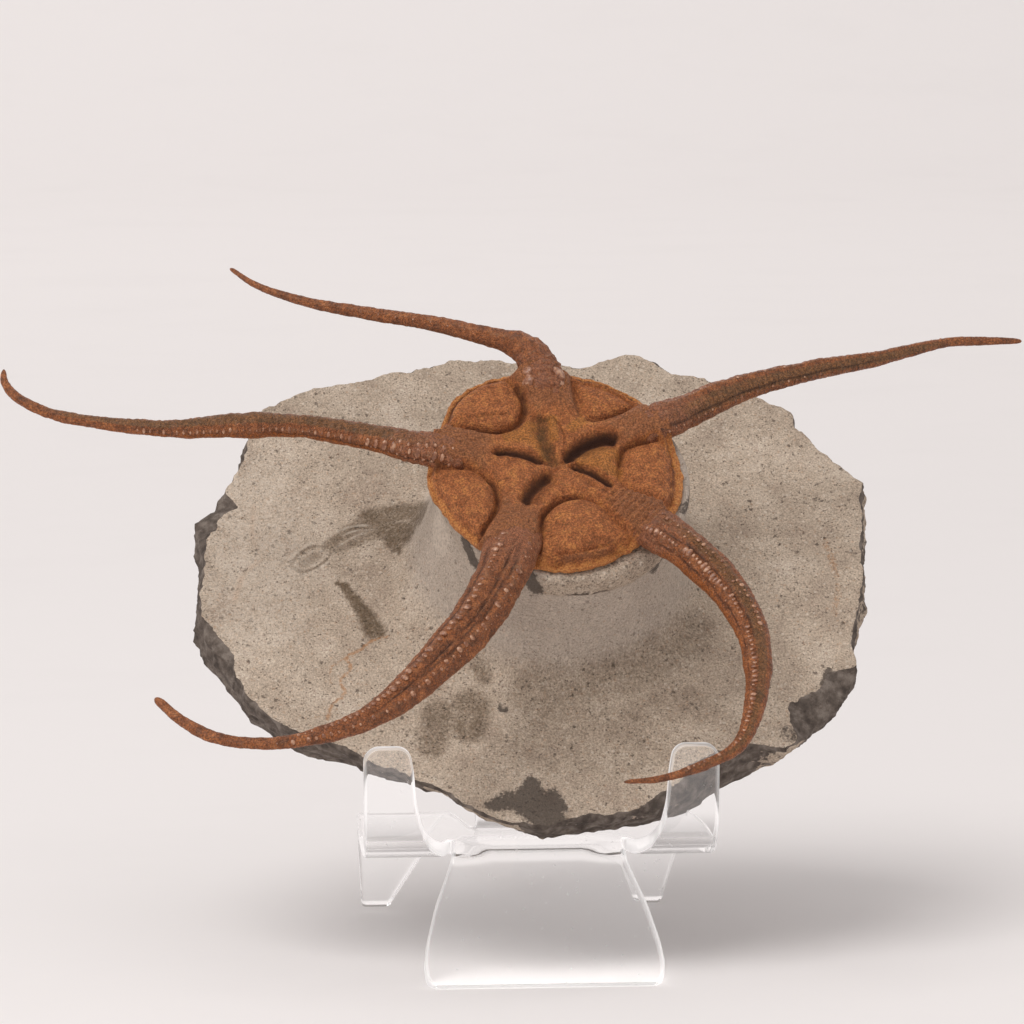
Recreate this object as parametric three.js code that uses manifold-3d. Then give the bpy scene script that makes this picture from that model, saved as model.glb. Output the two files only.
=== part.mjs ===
// A fossil brittle star, mouth side up, prepared free of its stone: the round disc lies on a short
// pedestal carved from the slab and the five arms reach out into the air. The slab leans on a clear
// easel that is one moulded strip of plastic. Millimetres, +Z up, the viewer stands at -Y.
import * as THREE from 'three';
import { mergeVertices } from 'three/addons/utils/BufferGeometryUtils.js';
import Module from 'manifold-3d';

const wasm = await Module();
wasm.setup();

// ---- driving dimensions -------------------------------------------------------------------------

const CLEARANCE = 0.3; // left between pieces that touch

// Slab frame: x across, y up the slope, z out of the front face, origin under the star's mouth.
const SLAB_THICKNESS = 9;
const SLAB_LEAN = THREE.MathUtils.degToRad(43); // from the horizontal
const MOUTH_ABOVE_FOOT = 43; // from the slab's lowest point up the slope to the mouth
const MOUTH_OFF_CENTRE = 4.4; // the mouth lies this far right of the easel's middle
const PEDESTAL_HEIGHT = 20;

const DISC_RADIUS = 18.5;
const DISC_CENTRE = new THREE.Vector2(-0.5, 0.5);
const RIM_THICKNESS = 1.3;

// The arms' bases on the disc: direction in degrees, and half width.
const ARM_BASES = [[95, 3.6], [169, 3.2], [242, 4], [317, 4.4], [28, 3.2]];
// The lobes between them: centre x and y, half length, half width, turn in degrees, and height.
const LOBES = [
  [-10.6, 11.3, 6.3, 4.7, 38, 2.5],
  [6.4, 12.4, 4.9, 3.1, -25, 1.7],
  [12.9, -1.4, 6, 4.1, 84, 2.3],
  [2.3, -11.9, 6.8, 5, 12, 2.8],
  [-14, -5.7, 6.5, 4.4, -62, 2.4],
];
// The mouth's slits: where each starts, bends to and ends, its half width, and its depth.
const SLITS = [
  [[-1, 0.8], [-2.6, 5], [-2.3, 10.8], 1, 1.3],
  [[0.3, 1.6], [3.6, 6.2], [8.6, 5.3], 1.2, 2.4],
  [[0.8, 0.1], [4.8, -0.6], [7, -4], 1, 2],
  [[-1.6, -0.9], [-5.2, -3.2], [-6, -7.4], 1.1, 2.2],
  [[-2.4, 0.8], [-5.6, 3.2], [-10, 2.7], 1, 2],
];

// Easel: y and z of its side view, with its middle at x = 0.
const SHEET = 2.2;
const PLATFORM_TOP = 19;
const HOOK_TOP = 33.7;
const HOOK_Y = -23.4;
const FRONT_BEND_Y = -16.5;
const SLAB_REST_Y = -16.5;
const BACK_REST_Y = -4;
const BACK_REST_LENGTH = 46;
const BACK_REST_ANGLE = THREE.MathUtils.degToRad(53);
const REAR_BEND_Y = 8;
const REAR_FOOT_Y = 31;
const FRONT_FOOT_Y = -31;
const HALF_WIDTH = 25.5;

// The slab's broken outline, anticlockwise from its lowest point.
const SLAB_OUTLINE = [
  [-3, -43], [6, -42.2], [12, -41], [16.5, -40], [22, -36], [27.5, -32.5], [33.5, -28], [38, -24.5],
  [42.5, -19.5], [44, -14], [46.5, -6], [46.8, 4], [47.7, 15], [42, 22], [38.7, 26.5], [38.5, 30],
  [33.5, 32.5], [26, 37], [21, 38.2], [17.5, 41], [14.5, 42.3], [7, 39.5], [-5.5, 41], [-11.5, 40.5],
  [-21.5, 38.5], [-24, 37], [-34, 35], [-42, 31], [-45, 22.5], [-47, 16.5], [-52, 10], [-51.5, 2],
  [-52.2, -9], [-48, -16], [-44.5, -22], [-38.5, -27.5], [-32, -29.5], [-21, -34], [-15, -36], [-9, -40.5],
];

// How far the face's broken lip juts out over the back edge, by the angle around in degrees.
const LIP = [
  [-180, 0], [-160, 1], [-145, 3], [-128, 2.8], [-108, 1.5], [-90, 1.6], [-72, 1.3], [-55, 0.4], [-40, 0],
];

// Pedestal wall and slab face: radius from the mouth and height, down from the pedestal's top.
const PEDESTAL_PROFILE = [
  [9, 20], [17.3, 20], [18.1, 18.8], [18, 15.8], [18.7, 11], [20, 6.5], [22, 3], [25, 1], [28.5, 0.2],
];

// Each arm: its middle line [x, y, z] from inside the disc to the tip, with the full width there,
// how deep the groove along its upper side is, and how thick it is for its width.
const ARMS = {
  arm_top: {
    groove: 0.05, thickness: 0.86,
    line: [
      [-1.3, 14.7, 22.4, 7.2], [-2.2, 19.3, 22.5, 5.7], [-3.6, 22.2, 22.7, 5], [-6.8, 24, 22.9, 3.8],
      [-11.7, 25.7, 22.9, 2.8], [-17.5, 28, 22.5, 2.4], [-26.2, 30.8, 21.5, 2.1], [-35, 34.4, 20, 1.6],
      [-42.3, 38.8, 18.8, 1.1], [-46.5, 43.2, 18, 0.7],
    ],
  },
  arm_left: {
    groove: 0.08, thickness: 0.8,
    line: [
      [-15.5, 3.1, 22.4, 6.6], [-21.5, 4, 22.5, 5], [-27.2, 5.8, 22.5, 4.3], [-37.4, 8.1, 22.6, 3.6],
      [-46.1, 8.1, 22.9, 3.9], [-56.2, 7.7, 22.7, 2.8], [-64.9, 9.2, 22.1, 2.1],
      [-72.9, 11.4, 21.7, 1.8], [-78, 14.8, 21.3, 1.5], [-80.1, 18.1, 21.1, 1.2],
      [-80.3, 20.9, 21, 0.7],
    ],
  },
  arm_lower_left: {
    groove: 0.45, thickness: 0.66,
    line: [
      [-7.6, -13.7, 22.4, 8], [-10.2, -20.7, 22.7, 7.4], [-14.2, -28.8, 23.1, 6.9],
      [-19.7, -36.2, 23.5, 6.3], [-26.1, -43.3, 23.5, 4.6], [-33.2, -47.9, 23.3, 3.2],
      [-42.3, -50, 22.7, 2.1], [-50.5, -48.9, 22.1, 1.9], [-55.8, -45.2, 21.5, 1.7],
      [-59.7, -40.5, 21, 1.2],
    ],
  },
  arm_lower_right: {
    groove: 0.4, thickness: 0.7,
    line: [
      [11.9, -11, 22.4, 6.8], [17, -16.1, 22.7, 6.2], [21.5, -22.4, 22.9, 5.9], [24.5, -29.7, 23, 5],
      [25.3, -36.8, 23, 4.1], [24.3, -44.1, 22.9, 3.1], [21.6, -51.2, 22.6, 2.1],
      [16.3, -54.6, 22.3, 1.6], [10.2, -56.5, 21.8, 1.1], [4.9, -56.8, 21.5, 0.6],
    ],
  },
  arm_right: {
    groove: 0.06, thickness: 0.82,
    line: [
      [13.2, 7.8, 22.4, 6.2], [18.3, 9.9, 22.6, 5.4], [24.4, 13.1, 22.8, 4.7], [30.5, 15.6, 22.9, 3.8],
      [39.7, 18.4, 22.6, 3.1], [48.9, 21.1, 21.8, 2.4], [58.3, 24.8, 20.7, 1.6],
      [64.5, 25.9, 19.9, 1.4], [70.7, 26.6, 19, 0.8],
    ],
  },
};
const ARM_SIDES = 12;
const ARM_STEPS = 30;

// ---- materials ----------------------------------------------------------------------------------

const STONE = new THREE.MeshStandardMaterial({ color: 0xa99e90, roughness: 0.9, metalness: 0 });
const DISC_FOSSIL = new THREE.MeshStandardMaterial({ color: 0x9c5a2b, roughness: 0.5, metalness: 0 });
const ARM_FOSSIL = new THREE.MeshStandardMaterial({ color: 0x84492a, roughness: 0.45, metalness: 0 });
const CLEAR_PLASTIC = new THREE.MeshStandardMaterial({
  color: 0xeef0f0, roughness: 0.05, metalness: 0, transparent: true, opacity: 0.35,
});

// ---- joining and cutting ------------------------------------------------------------------------

/** A closed geometry's surface as a solid that can be joined and cut. */
function toSolid(geometry) {
  const bare = new THREE.BufferGeometry();
  bare.setAttribute('position', geometry.getAttribute('position'));
  bare.setIndex(geometry.getIndex());
  const merged = mergeVertices(bare, 1e-4);
  return new wasm.Manifold(new wasm.Mesh({
    numProp: 3,
    vertProperties: new Float32Array(merged.getAttribute('position').array),
    triVerts: new Uint32Array(merged.getIndex().array),
  }));
}

/** The solid's surface as a geometry with flat normals. */
function toGeometry(solid) {
  const mesh = solid.getMesh();
  const geometry = new THREE.BufferGeometry();
  geometry.setAttribute('position', new THREE.BufferAttribute(mesh.vertProperties, 3));
  geometry.setIndex(new THREE.BufferAttribute(mesh.triVerts, 1));
  geometry.computeVertexNormals();
  return geometry;
}

/** Moves every vertex of a geometry to where place(x, y, z) says. */
function reshape(geometry, place) {
  const position = geometry.getAttribute('position');
  const vertex = new THREE.Vector3();
  for (let i = 0; i < position.count; i += 1) {
    vertex.fromBufferAttribute(position, i);
    const { x, y, z } = place(vertex);
    position.setXYZ(i, x, y, z);
  }
  geometry.computeVertexNormals();
  return geometry;
}

/** A profile of [radius, height] points turned about the z axis. */
function turned(profile, segments) {
  const points = profile.map(([radius, height]) => new THREE.Vector2(radius, height));
  return new THREE.LatheGeometry(points, segments).rotateX(Math.PI / 2);
}

/** Straight-line reading of a table of [where, value] rows. */
function readTable(table, where) {
  const last = table.length - 1;
  if (where <= table[0][0]) return table[0][1];
  if (where >= table[last][0]) return table[last][1];
  const next = table.findIndex(([at]) => at >= where);
  const [fromAt, fromValue] = table[next - 1];
  const [toAt, toValue] = table[next];
  return THREE.MathUtils.mapLinear(where, fromAt, toAt, fromValue, toValue);
}

// ---- the stone ----------------------------------------------------------------------------------

/** The point of the slab's outline that is a share of the way around it, from its lowest point. */
function outlinePoint(share) {
  const count = SLAB_OUTLINE.length;
  const position = share * count;
  const index = Math.floor(position + 1e-6);
  const from = new THREE.Vector2(...SLAB_OUTLINE[index % count]);
  const to = new THREE.Vector2(...SLAB_OUTLINE[(index + 1) % count]);
  return from.lerp(to, Math.max(position - index, 0));
}

/**
 * Slab and pedestal in one stone: a turned form whose spokes point at the corners of the outline,
 * and whose outer rings are drawn out to it.
 */
function buildSlab() {
  const segments = 2 * SLAB_OUTLINE.length;
  const foot = PEDESTAL_PROFILE[PEDESTAL_PROFILE.length - 1][0];
  // Beyond the pedestal's foot a ring's radius is a share: 1 at the foot and 2 at the outline.
  const rings = [[1.4, 0], [1.8, 0.1], [1.97, 0], [2, -0.8], [1.995, -4], [1.975, -SLAB_THICKNESS]];
  const profile = [
    [0, PEDESTAL_HEIGHT],
    ...PEDESTAL_PROFILE,
    ...rings.map(([share, height]) => [foot * share, height]),
    [foot, -SLAB_THICKNESS],
    [0, -SLAB_THICKNESS],
  ];
  return reshape(turned(profile.reverse(), segments), ({ x, y, z }) => {
    const radius = Math.hypot(x, y);
    const turn = Math.atan2(y, x) / (2 * Math.PI) + 0.25;
    const edge = outlinePoint(THREE.MathUtils.euclideanModulo(turn, 1));
    const angle = edge.angle();
    const share = Math.max(radius / foot - 1, 0);
    const jut = readTable(LIP, THREE.MathUtils.radToDeg(Math.atan2(edge.y, edge.x)))
      * THREE.MathUtils.clamp(1 + (z + 0.8) / (SLAB_THICKNESS - 0.8), 0, 1);
    const reach = share > 0 ? foot + share * (edge.length() + jut - foot) : radius;
    // The face swells and sinks a little around the pedestal.
    const swell = z > -1 ? 0.35 * Math.sin(3 * angle + 1) * share : 0;
    return new THREE.Vector3(
      Math.cos(angle) * reach,
      Math.sin(angle) * reach,
      Math.min(z + swell, PEDESTAL_HEIGHT - CLEARANCE),
    );
  });
}

// ---- the fossil ---------------------------------------------------------------------------------

/** A smooth hump, 1 at the middle and 0 from one width away. */
function hump(distance, width) {
  return 1 - THREE.MathUtils.smoothstep(Math.abs(distance), 0, width);
}

const slitCurves = SLITS.map(([start, bend, end]) => new THREE.QuadraticBezierCurve(
  new THREE.Vector2(...start), new THREE.Vector2(...bend), new THREE.Vector2(...end),
).getPoints(10));

/** Height of the disc's upper side above its flat underside: rim, arm bases, lobes and slits. */
function discRelief(x, y) {
  const { smoothstep, degToRad } = THREE.MathUtils;
  const place = new THREE.Vector2(x, y);
  let raised = 1.6 * (1 - smoothstep(place.length(), 0.3 * DISC_RADIUS, 0.6 * DISC_RADIUS));
  ARM_BASES.forEach(([direction, halfWidth]) => {
    const turned = place.clone().rotateAround(new THREE.Vector2(), -degToRad(direction));
    const across = Math.sqrt(Math.max(1 - (turned.y / halfWidth) ** 2, 0));
    const height = 1.6 * smoothstep(turned.x, 2, 7) + 1.6 * smoothstep(turned.x, 8, 14);
    raised = Math.max(raised, height * across);
  });
  const onStar = place.clone().add(DISC_CENTRE);
  LOBES.forEach(([centreX, centreY, halfLength, halfWidth, turn, height]) => {
    const fromCentre = onStar.clone().sub(new THREE.Vector2(centreX, centreY));
    const turned = fromCentre.rotateAround(new THREE.Vector2(), -degToRad(turn));
    const away = Math.hypot(turned.x / halfLength, turned.y / halfWidth);
    raised = Math.max(raised * smoothstep(away, 0.85, 1.15), height * (1 - smoothstep(away, 0.45, 1.05)));
  });
  SLITS.forEach(([, , , halfWidth, depth], index) => {
    const away = Math.min(...slitCurves[index].map((point) => point.distanceTo(onStar)));
    raised -= depth * hump(away, halfWidth);
  });
  return Math.max(RIM_THICKNESS + raised, 0.8);
}

/** The round body of the star. */
function buildDisc() {
  const segments = 80;
  const radii = [0.05, 0.12, 0.19, 0.26, 0.33, 0.4, 0.48, 0.56, 0.64, 0.72, 0.8, 0.88, 0.95];
  const profile = [
    [0, 0],
    [DISC_RADIUS - 0.6, 0],
    [DISC_RADIUS, 0.5],
    [DISC_RADIUS, RIM_THICKNESS],
    ...radii.reverse().map((share) => [DISC_RADIUS * share, RIM_THICKNESS]),
    [0, RIM_THICKNESS],
  ];
  const disc = reshape(turned(profile, segments), ({ x, y, z }) => {
    return new THREE.Vector3(x, y, z > RIM_THICKNESS - 0.01 ? discRelief(x, y) : z);
  });
  return disc.translate(DISC_CENTRE.x, DISC_CENTRE.y, PEDESTAL_HEIGHT);
}

/** One arm: an oval tube with a groove on its upper side, tapering along its line to a blunt tip. */
function buildArm({ line, groove, thickness }) {
  const curve = new THREE.CatmullRomCurve3(line.map(([x, y, z]) => new THREE.Vector3(x, y, z)));
  const widths = new THREE.SplineCurve(line.map(([, , , width], index) => new THREE.Vector2(index, width)));
  const up = new THREE.Vector3(0, 0, 1);
  const tube = new THREE.CylinderGeometry(1, 1, 1, ARM_SIDES, ARM_STEPS);
  const arm = reshape(tube, ({ x, y, z }) => {
    const share = 0.5 + y; // 0 at the disc, 1 at the tip
    const tangent = curve.getTangent(share);
    const across = tangent.clone().cross(up).normalize();
    const outward = across.clone().cross(tangent);
    const blunt = share > 0.99 ? 0.6 : 1;
    const halfWidth = (widths.getPoint(share).y / 2) * blunt;
    const grooveHere = z > 0.98 ? groove * (1 - THREE.MathUtils.smoothstep(share, 0.45, 0.75)) : 0;
    return curve.getPoint(share)
      .addScaledVector(across, x * halfWidth)
      .addScaledVector(outward, z * halfWidth * thickness * (1 - grooveHere));
  });
  const around = new THREE.CylinderGeometry(
    DISC_RADIUS + CLEARANCE, DISC_RADIUS + CLEARANCE, 2 * PEDESTAL_HEIGHT, 75,
  ).rotateX(Math.PI / 2).translate(DISC_CENTRE.x, DISC_CENTRE.y, PEDESTAL_HEIGHT);
  return toGeometry(toSolid(arm).subtract(toSolid(around)));
}

// ---- the easel ----------------------------------------------------------------------------------

/**
 * Stations along the middle of a bent sheet seen from its side: straight runs between corners
 * [y, z, bend radius], each station with its point, its unit normal and its distance from the start.
 * A corner on a straight run only adds a station there.
 */
function bentRoute(corners, runStep = 4, bendSteps = 5) {
  const points = corners.map(([y, z]) => new THREE.Vector2(y, z));
  const stations = [];
  let distance = 0;
  let here = points[0];
  const add = (point, angle) => {
    distance += point.distanceTo(here);
    here = point;
    stations.push({ point, normal: new THREE.Vector2(-Math.sin(angle), Math.cos(angle)), distance });
  };
  for (let i = 1; i < points.length; i += 1) {
    const heading = points[i].clone().sub(points[i - 1]).angle();
    const forward = new THREE.Vector2(Math.cos(heading), Math.sin(heading));
    const isLast = i === points.length - 1;
    const radius = isLast ? 0 : corners[i][2];
    const nextHeading = isLast ? heading : points[i + 1].clone().sub(points[i]).angle();
    const turn = Math.atan2(Math.sin(nextHeading - heading), Math.cos(nextHeading - heading));
    const tangentLength = radius * Math.abs(Math.tan(turn / 2));
    const runEnd = points[i].clone().addScaledVector(forward, -tangentLength);
    const run = runEnd.distanceTo(here);
    const runStart = here.clone();
    const steps = Math.max(1, Math.ceil(run / runStep));
    const firstStep = stations.length ? 1 : 0;
    for (let k = firstStep; k <= steps; k += 1) add(runStart.clone().lerp(runEnd, k / steps), heading);
    const centre = runEnd.clone().addScaledVector(
      new THREE.Vector2(-forward.y, forward.x), Math.sign(turn) * radius,
    );
    const isBend = Math.abs(turn) > 0.01;
    for (let k = 1; k <= bendSteps && isBend; k += 1) {
      add(runEnd.clone().rotateAround(centre, (turn * k) / bendSteps), heading + (turn * k) / bendSteps);
    }
  }
  return stations;
}

/** A bent strip of the sheet: edges(station) gives the x of its two edges. */
function bentStrip(stations, edges) {
  const steps = stations.length - 1;
  const strip = new THREE.BoxGeometry(1, 1, 1, 1, steps, 1);
  return toSolid(reshape(strip, ({ x, y, z }) => {
    const station = stations[Math.round((y + 0.5) * steps)];
    const [left, right] = edges(station);
    const offset = station.normal.clone().multiplyScalar(z * SHEET);
    return new THREE.Vector3(
      x < 0 ? left : right,
      station.point.x + offset.x,
      station.point.y + offset.y,
    );
  }));
}

/** Clear easel: a ledge with two hooks and a broad foot in front, two legs and a back rest behind. */
function buildEasel() {
  const middle = PLATFORM_TOP - SHEET / 2;
  const underground = -3; // the feet are made too long and cut off level

  // Hook top, down to the ledge, back along it and down the rear leg.
  const legSlope = PLATFORM_TOP / (REAR_FOOT_Y - REAR_BEND_Y);
  const sideRoute = bentRoute([
    [HOOK_Y, HOOK_TOP],
    [HOOK_Y, HOOK_TOP - 0.5, 0],
    [HOOK_Y, HOOK_TOP - 2, 0],
    [HOOK_Y, middle, 5.5],
    [REAR_BEND_Y, middle, 4],
    [REAR_FOOT_Y - underground / legSlope, underground],
  ]);
  // Distances from the hook's top, with the strip's inner and outer edge from the middle.
  const innerEdge = [
    [0, 20.3], [0.5, 19.2], [2, 18.3], [9, 18.2], [12, 17.6], [15, 16.2], [18, 14.2], [20, 13],
    [21, 8.5], [31, 8.5], [41, 9.8], [55, 14], [69, 18.1],
  ];
  const outerEdge = [[0, 23.5], [0.5, 24.6], [2, HALF_WIDTH], [45, HALF_WIDTH], [69, 23.2]];
  const sides = [-1, 1].map((side) => bentStrip(sideRoute, ({ distance }) => {
    const inner = readTable(innerEdge, distance);
    const outer = readTable(outerEdge, distance);
    return side < 0 ? [-outer, -inner] : [inner, outer];
  }));

  // Front foot, up to the ledge, across it and up the back rest.
  const footSlope = PLATFORM_TOP / (FRONT_BEND_Y - FRONT_FOOT_Y);
  const centreRoute = bentRoute([
    [FRONT_FOOT_Y + underground / footSlope + SHEET / 2, underground],
    [FRONT_FOOT_Y + 1 / footSlope + SHEET / 2, 1, 0],
    [FRONT_BEND_Y, middle, 7],
    [BACK_REST_Y, middle, 3],
    [
      BACK_REST_Y + BACK_REST_LENGTH * Math.cos(BACK_REST_ANGLE),
      middle + BACK_REST_LENGTH * Math.sin(BACK_REST_ANGLE),
    ],
  ]);
  const length = centreRoute[centreRoute.length - 1].distance;
  const halfWidths = [
    [3.8, 15.8], [4.8, 16.8], [6.5, 17.3], [10, 17.1], [16, 15.9], [22, 14.2], [26, 12.4], [30, 11.8],
    [36, 11.6], [37.5, 7.9], [42, 7.9], [length - 3, 15.5], [length - 1, 14.6], [length, 13],
  ];
  const centre = bentStrip(centreRoute, ({ distance }) => {
    const halfWidth = readTable(halfWidths, distance);
    return [-halfWidth, halfWidth];
  });

  const ground = toSolid(new THREE.BoxGeometry(200, 200, 20).translate(0, 0, -10));
  return toGeometry(sides[0].add(sides[1]).add(centre).subtract(ground));
}

// ---- assembly -----------------------------------------------------------------------------------

function piece(name, geometry, material) {
  const mesh = new THREE.Mesh(geometry, material);
  mesh.name = name;
  return mesh;
}

// Everything of stone and fossil is laid out on the slab, then leaned back as one.
const slabGroup = new THREE.Group();
slabGroup.add(piece('matrix_slab', buildSlab(), STONE));
slabGroup.add(piece('disc', buildDisc(), DISC_FOSSIL));
Object.entries(ARMS).forEach(([name, arm]) => slabGroup.add(piece(name, buildArm(arm), ARM_FOSSIL)));
slabGroup.rotation.x = SLAB_LEAN;
const mouthFromFoot = new THREE.Vector3(0, MOUTH_ABOVE_FOOT, SLAB_THICKNESS).applyEuler(slabGroup.rotation);
slabGroup.position.set(MOUTH_OFF_CENTRE, SLAB_REST_Y, PLATFORM_TOP + CLEARANCE).add(mouthFromFoot);

const model = new THREE.Group();
model.add(piece('easel_stand', buildEasel(), CLEAR_PLASTIC), slabGroup);

// The origin is on the ground, under the middle of the whole.
const box = new THREE.Box3().setFromObject(model, true);
const centre = box.getCenter(new THREE.Vector3());
model.position.set(-centre.x, -centre.y, -box.min.z);

export default model;
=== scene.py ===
"""A fossil brittle star on its pedestal of stone, leaning on a clear plastic easel.

The stone and the fossil are laid out in the slab's own leaning frame, in millimetres: x across,
y up the slope and z out of the face, with the origin under the star's mouth. SlabFrame turns that
into the row frame, in metres. The easel is cut as one flat sheet and bent along its two routes.
"""

import logging
import math
from dataclasses import dataclass
from enum import Enum

import bmesh
import bpy
import numpy as np
from bmesh.types import BMesh
from bpy.types import Material, Mesh, Node, NodeSocket, NodeTree, Object
from mathutils import Matrix, Vector, geometry, noise


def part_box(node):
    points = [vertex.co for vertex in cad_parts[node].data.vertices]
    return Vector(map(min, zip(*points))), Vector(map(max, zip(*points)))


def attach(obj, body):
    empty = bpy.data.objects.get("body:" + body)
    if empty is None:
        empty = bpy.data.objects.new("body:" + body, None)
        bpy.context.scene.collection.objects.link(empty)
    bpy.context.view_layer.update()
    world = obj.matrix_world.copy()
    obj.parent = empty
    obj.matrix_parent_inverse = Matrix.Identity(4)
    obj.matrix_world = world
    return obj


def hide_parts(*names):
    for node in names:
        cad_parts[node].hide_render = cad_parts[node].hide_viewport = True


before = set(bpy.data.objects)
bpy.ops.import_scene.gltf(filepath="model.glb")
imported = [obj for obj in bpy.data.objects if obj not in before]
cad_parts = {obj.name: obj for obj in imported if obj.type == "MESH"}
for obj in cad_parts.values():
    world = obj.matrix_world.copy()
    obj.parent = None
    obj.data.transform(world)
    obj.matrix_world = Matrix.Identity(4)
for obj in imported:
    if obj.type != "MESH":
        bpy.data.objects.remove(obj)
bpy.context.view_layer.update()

LOG = logging.getLogger("brittle_star")
MM = 0.001
BODY = "root"
Array = np.ndarray
Table = tuple[tuple[float, float], ...]
Points = tuple[tuple[float, ...], ...]
Colour = tuple[float, float, float, float]
Feed = NodeSocket | float | tuple[float, ...]


# ---- curves, tables and noise ----


def rise(value: Array, low: float | Array, high: float | Array) -> Array:
    """A smooth rise.

    Args:
        value: Where to read it.
        low: Where it leaves 0.
        high: Where it reaches 1.

    Returns:
        Shares from 0 to 1.
    """
    share = np.clip((value - low) / (high - low), 0.0, 1.0)
    return share * share * (3.0 - 2.0 * share)


def fall(value: Array, low: float | Array, high: float | Array) -> Array:
    """A smooth fall from 1 at low to 0 at high."""
    return 1.0 - rise(value, low, high)


def hump(distance: Array, width: float) -> Array:
    """A smooth bump: 1 at no distance, 0 from one width away."""
    return fall(np.abs(distance), 0.0, width)


def read_table(table: Table, where: Array) -> Array:
    """Straight-line reading of a table of (where, value) rows."""
    rows = np.asarray(table, float)
    return np.interp(where, rows[:, 0], rows[:, 1])


def read_turn(table: Table, degrees: Array) -> Array:
    """Straight-line reading of a table that goes once round, by degrees from -180 to 180."""
    rows = np.asarray(table, float)
    return np.interp(degrees, rows[:, 0], rows[:, 1], period=360.0)


def spline(points: Points, steps: int, closed: bool = False) -> Array:
    """A Catmull-Rom curve.

    Args:
        points: The points that it passes through.
        steps: How many pieces each span is cut into.
        closed: True if it returns to its first point.

    Returns:
        One row for each point along it. A closed one doesn't repeat its first row.
    """
    knots = np.asarray(points, float)
    if closed:
        padded = np.vstack([knots[-1:], knots, knots[:2]])
    else:
        padded = np.vstack([2 * knots[0] - knots[1], knots, 2 * knots[-1] - knots[-2]])
    share = np.linspace(0.0, 1.0, steps, endpoint=False)[:, None]
    spans = []
    for before, here, there, after in zip(padded[:-3], padded[1:-2], padded[2:-1], padded[3:]):
        spans.append(
            here
            + 0.5 * share * (there - before)
            + share**2 * (before - 2.5 * here + 2 * there - 0.5 * after)
            + share**3 * (1.5 * here - 0.5 * before - 1.5 * there + 0.5 * after)
        )
    if not closed:
        spans.append(knots[-1:])
    return np.vstack(spans)


def distance_to(line: Array, places: Array) -> tuple[Array, Array]:
    """How far places are from a line.

    Args:
        line: The line's points, one to a row.
        places: The places, in as many dimensions as the line.

    Returns:
        Each place's distance, and how far along the line it is, from 0 to 1.
    """
    nearest = np.full(len(places), np.inf)
    along = np.zeros(len(places))
    spans = len(line) - 1
    for index in range(spans):
        start = line[index]
        step = line[index + 1] - start
        share = np.clip(((places - start) @ step) / max(step @ step, 1e-12), 0.0, 1.0)
        away = np.linalg.norm(places - start - share[:, None] * step, axis=1)
        closer = away < nearest
        nearest[closer] = away[closer]
        along[closer] = (index + share[closer]) / spans
    return nearest, along


def depth_inside(loop: Array, places: Array) -> Array:
    """How deep places lie inside a closed outline.

    Args:
        loop: The outline's points, one to a row.
        places: The places, as x and y.

    Returns:
        Distances from the outline: above 0 inside it and below 0 outside.
    """
    closed = np.vstack([loop, loop[:1]])
    away, _ = distance_to(closed, places)
    inside = np.zeros(len(places), bool)
    for (x0, y0), (x1, y1) in zip(closed[:-1], closed[1:]):
        if y0 == y1:
            continue
        crosses = (y0 > places[:, 1]) != (y1 > places[:, 1])
        cut = x0 + (places[:, 1] - y0) * (x1 - x0) / (y1 - y0)
        inside ^= crosses & (places[:, 0] < cut)
    return np.where(inside, away, -away)


def roughness(places: Array, size: float, octaves: int, seed: int) -> Array:
    """Smooth random height, about -1 to 1.

    Args:
        places: Where to read it, in millimetres.
        size: How far apart its largest bumps are.
        octaves: How many finer layers it has.
        seed: Which of the many such surfaces it is.

    Returns:
        One height for each place.
    """
    shift = np.array([17.3, -9.1, 5.7]) * (seed + 1)
    scaled = places / size + shift
    return np.array([noise.fractal(Vector(place), 1.0, 2.0, octaves) for place in scaled])


# ---- places and meshes ----


@dataclass(frozen=True)
class SlabFrame:
    """The leaning frame of the stone and the fossil.

    The disc's thin rim touches the box of its CAD node on three sides, which places the frame.
    """

    lean: float = math.radians(43.0)
    disc_centre: tuple[float, float] = (-0.5, 0.5)
    disc_radius: float = 18.5
    rim_corner: float = 20.5

    @property
    def turn(self) -> Array:
        """The frame's x, y and z directions, one to a row."""
        cos, sin = math.cos(self.lean), math.sin(self.lean)
        return np.array([[1.0, 0.0, 0.0], [0.0, cos, sin], [0.0, -sin, cos]])

    @property
    def origin(self) -> Array:
        """The point of the face under the mouth, in the row frame, in millimetres."""
        low, high = (np.array(corner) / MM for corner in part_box("disc"))
        cos, sin = math.cos(self.lean), math.sin(self.lean)
        bottom = self.disc_centre[1] - self.disc_radius
        top = self.disc_centre[1] + self.disc_radius
        return np.array([
            (low[0] + high[0]) / 2 - self.disc_centre[0],
            high[1] - (top * cos - self.rim_corner * sin),
            low[2] - (bottom * sin + self.rim_corner * cos),
        ])

    def to_row(self, places: Array) -> Array:
        """Turns places in this frame, in millimetres, into the row frame, in metres."""
        return (places @ self.turn + self.origin) * MM


SLAB = SlabFrame()


def on_plane(flat: Array) -> Array:
    """Places given as x and y, laid on the slab's face."""
    return np.column_stack([flat, np.zeros(len(flat))])


def round_turn(degrees: Array) -> Array:
    """The directions, as x and y, at angles round the origin."""
    return np.stack([np.cos(np.radians(degrees)), np.sin(np.radians(degrees))], -1)


def add_object(name: str, data: bpy.types.ID) -> Object:
    """Makes an object of a mesh, a lamp or a camera and puts it in the scene."""
    made = bpy.data.objects.new(name, data)
    bpy.context.scene.collection.objects.link(made)
    return made


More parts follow.
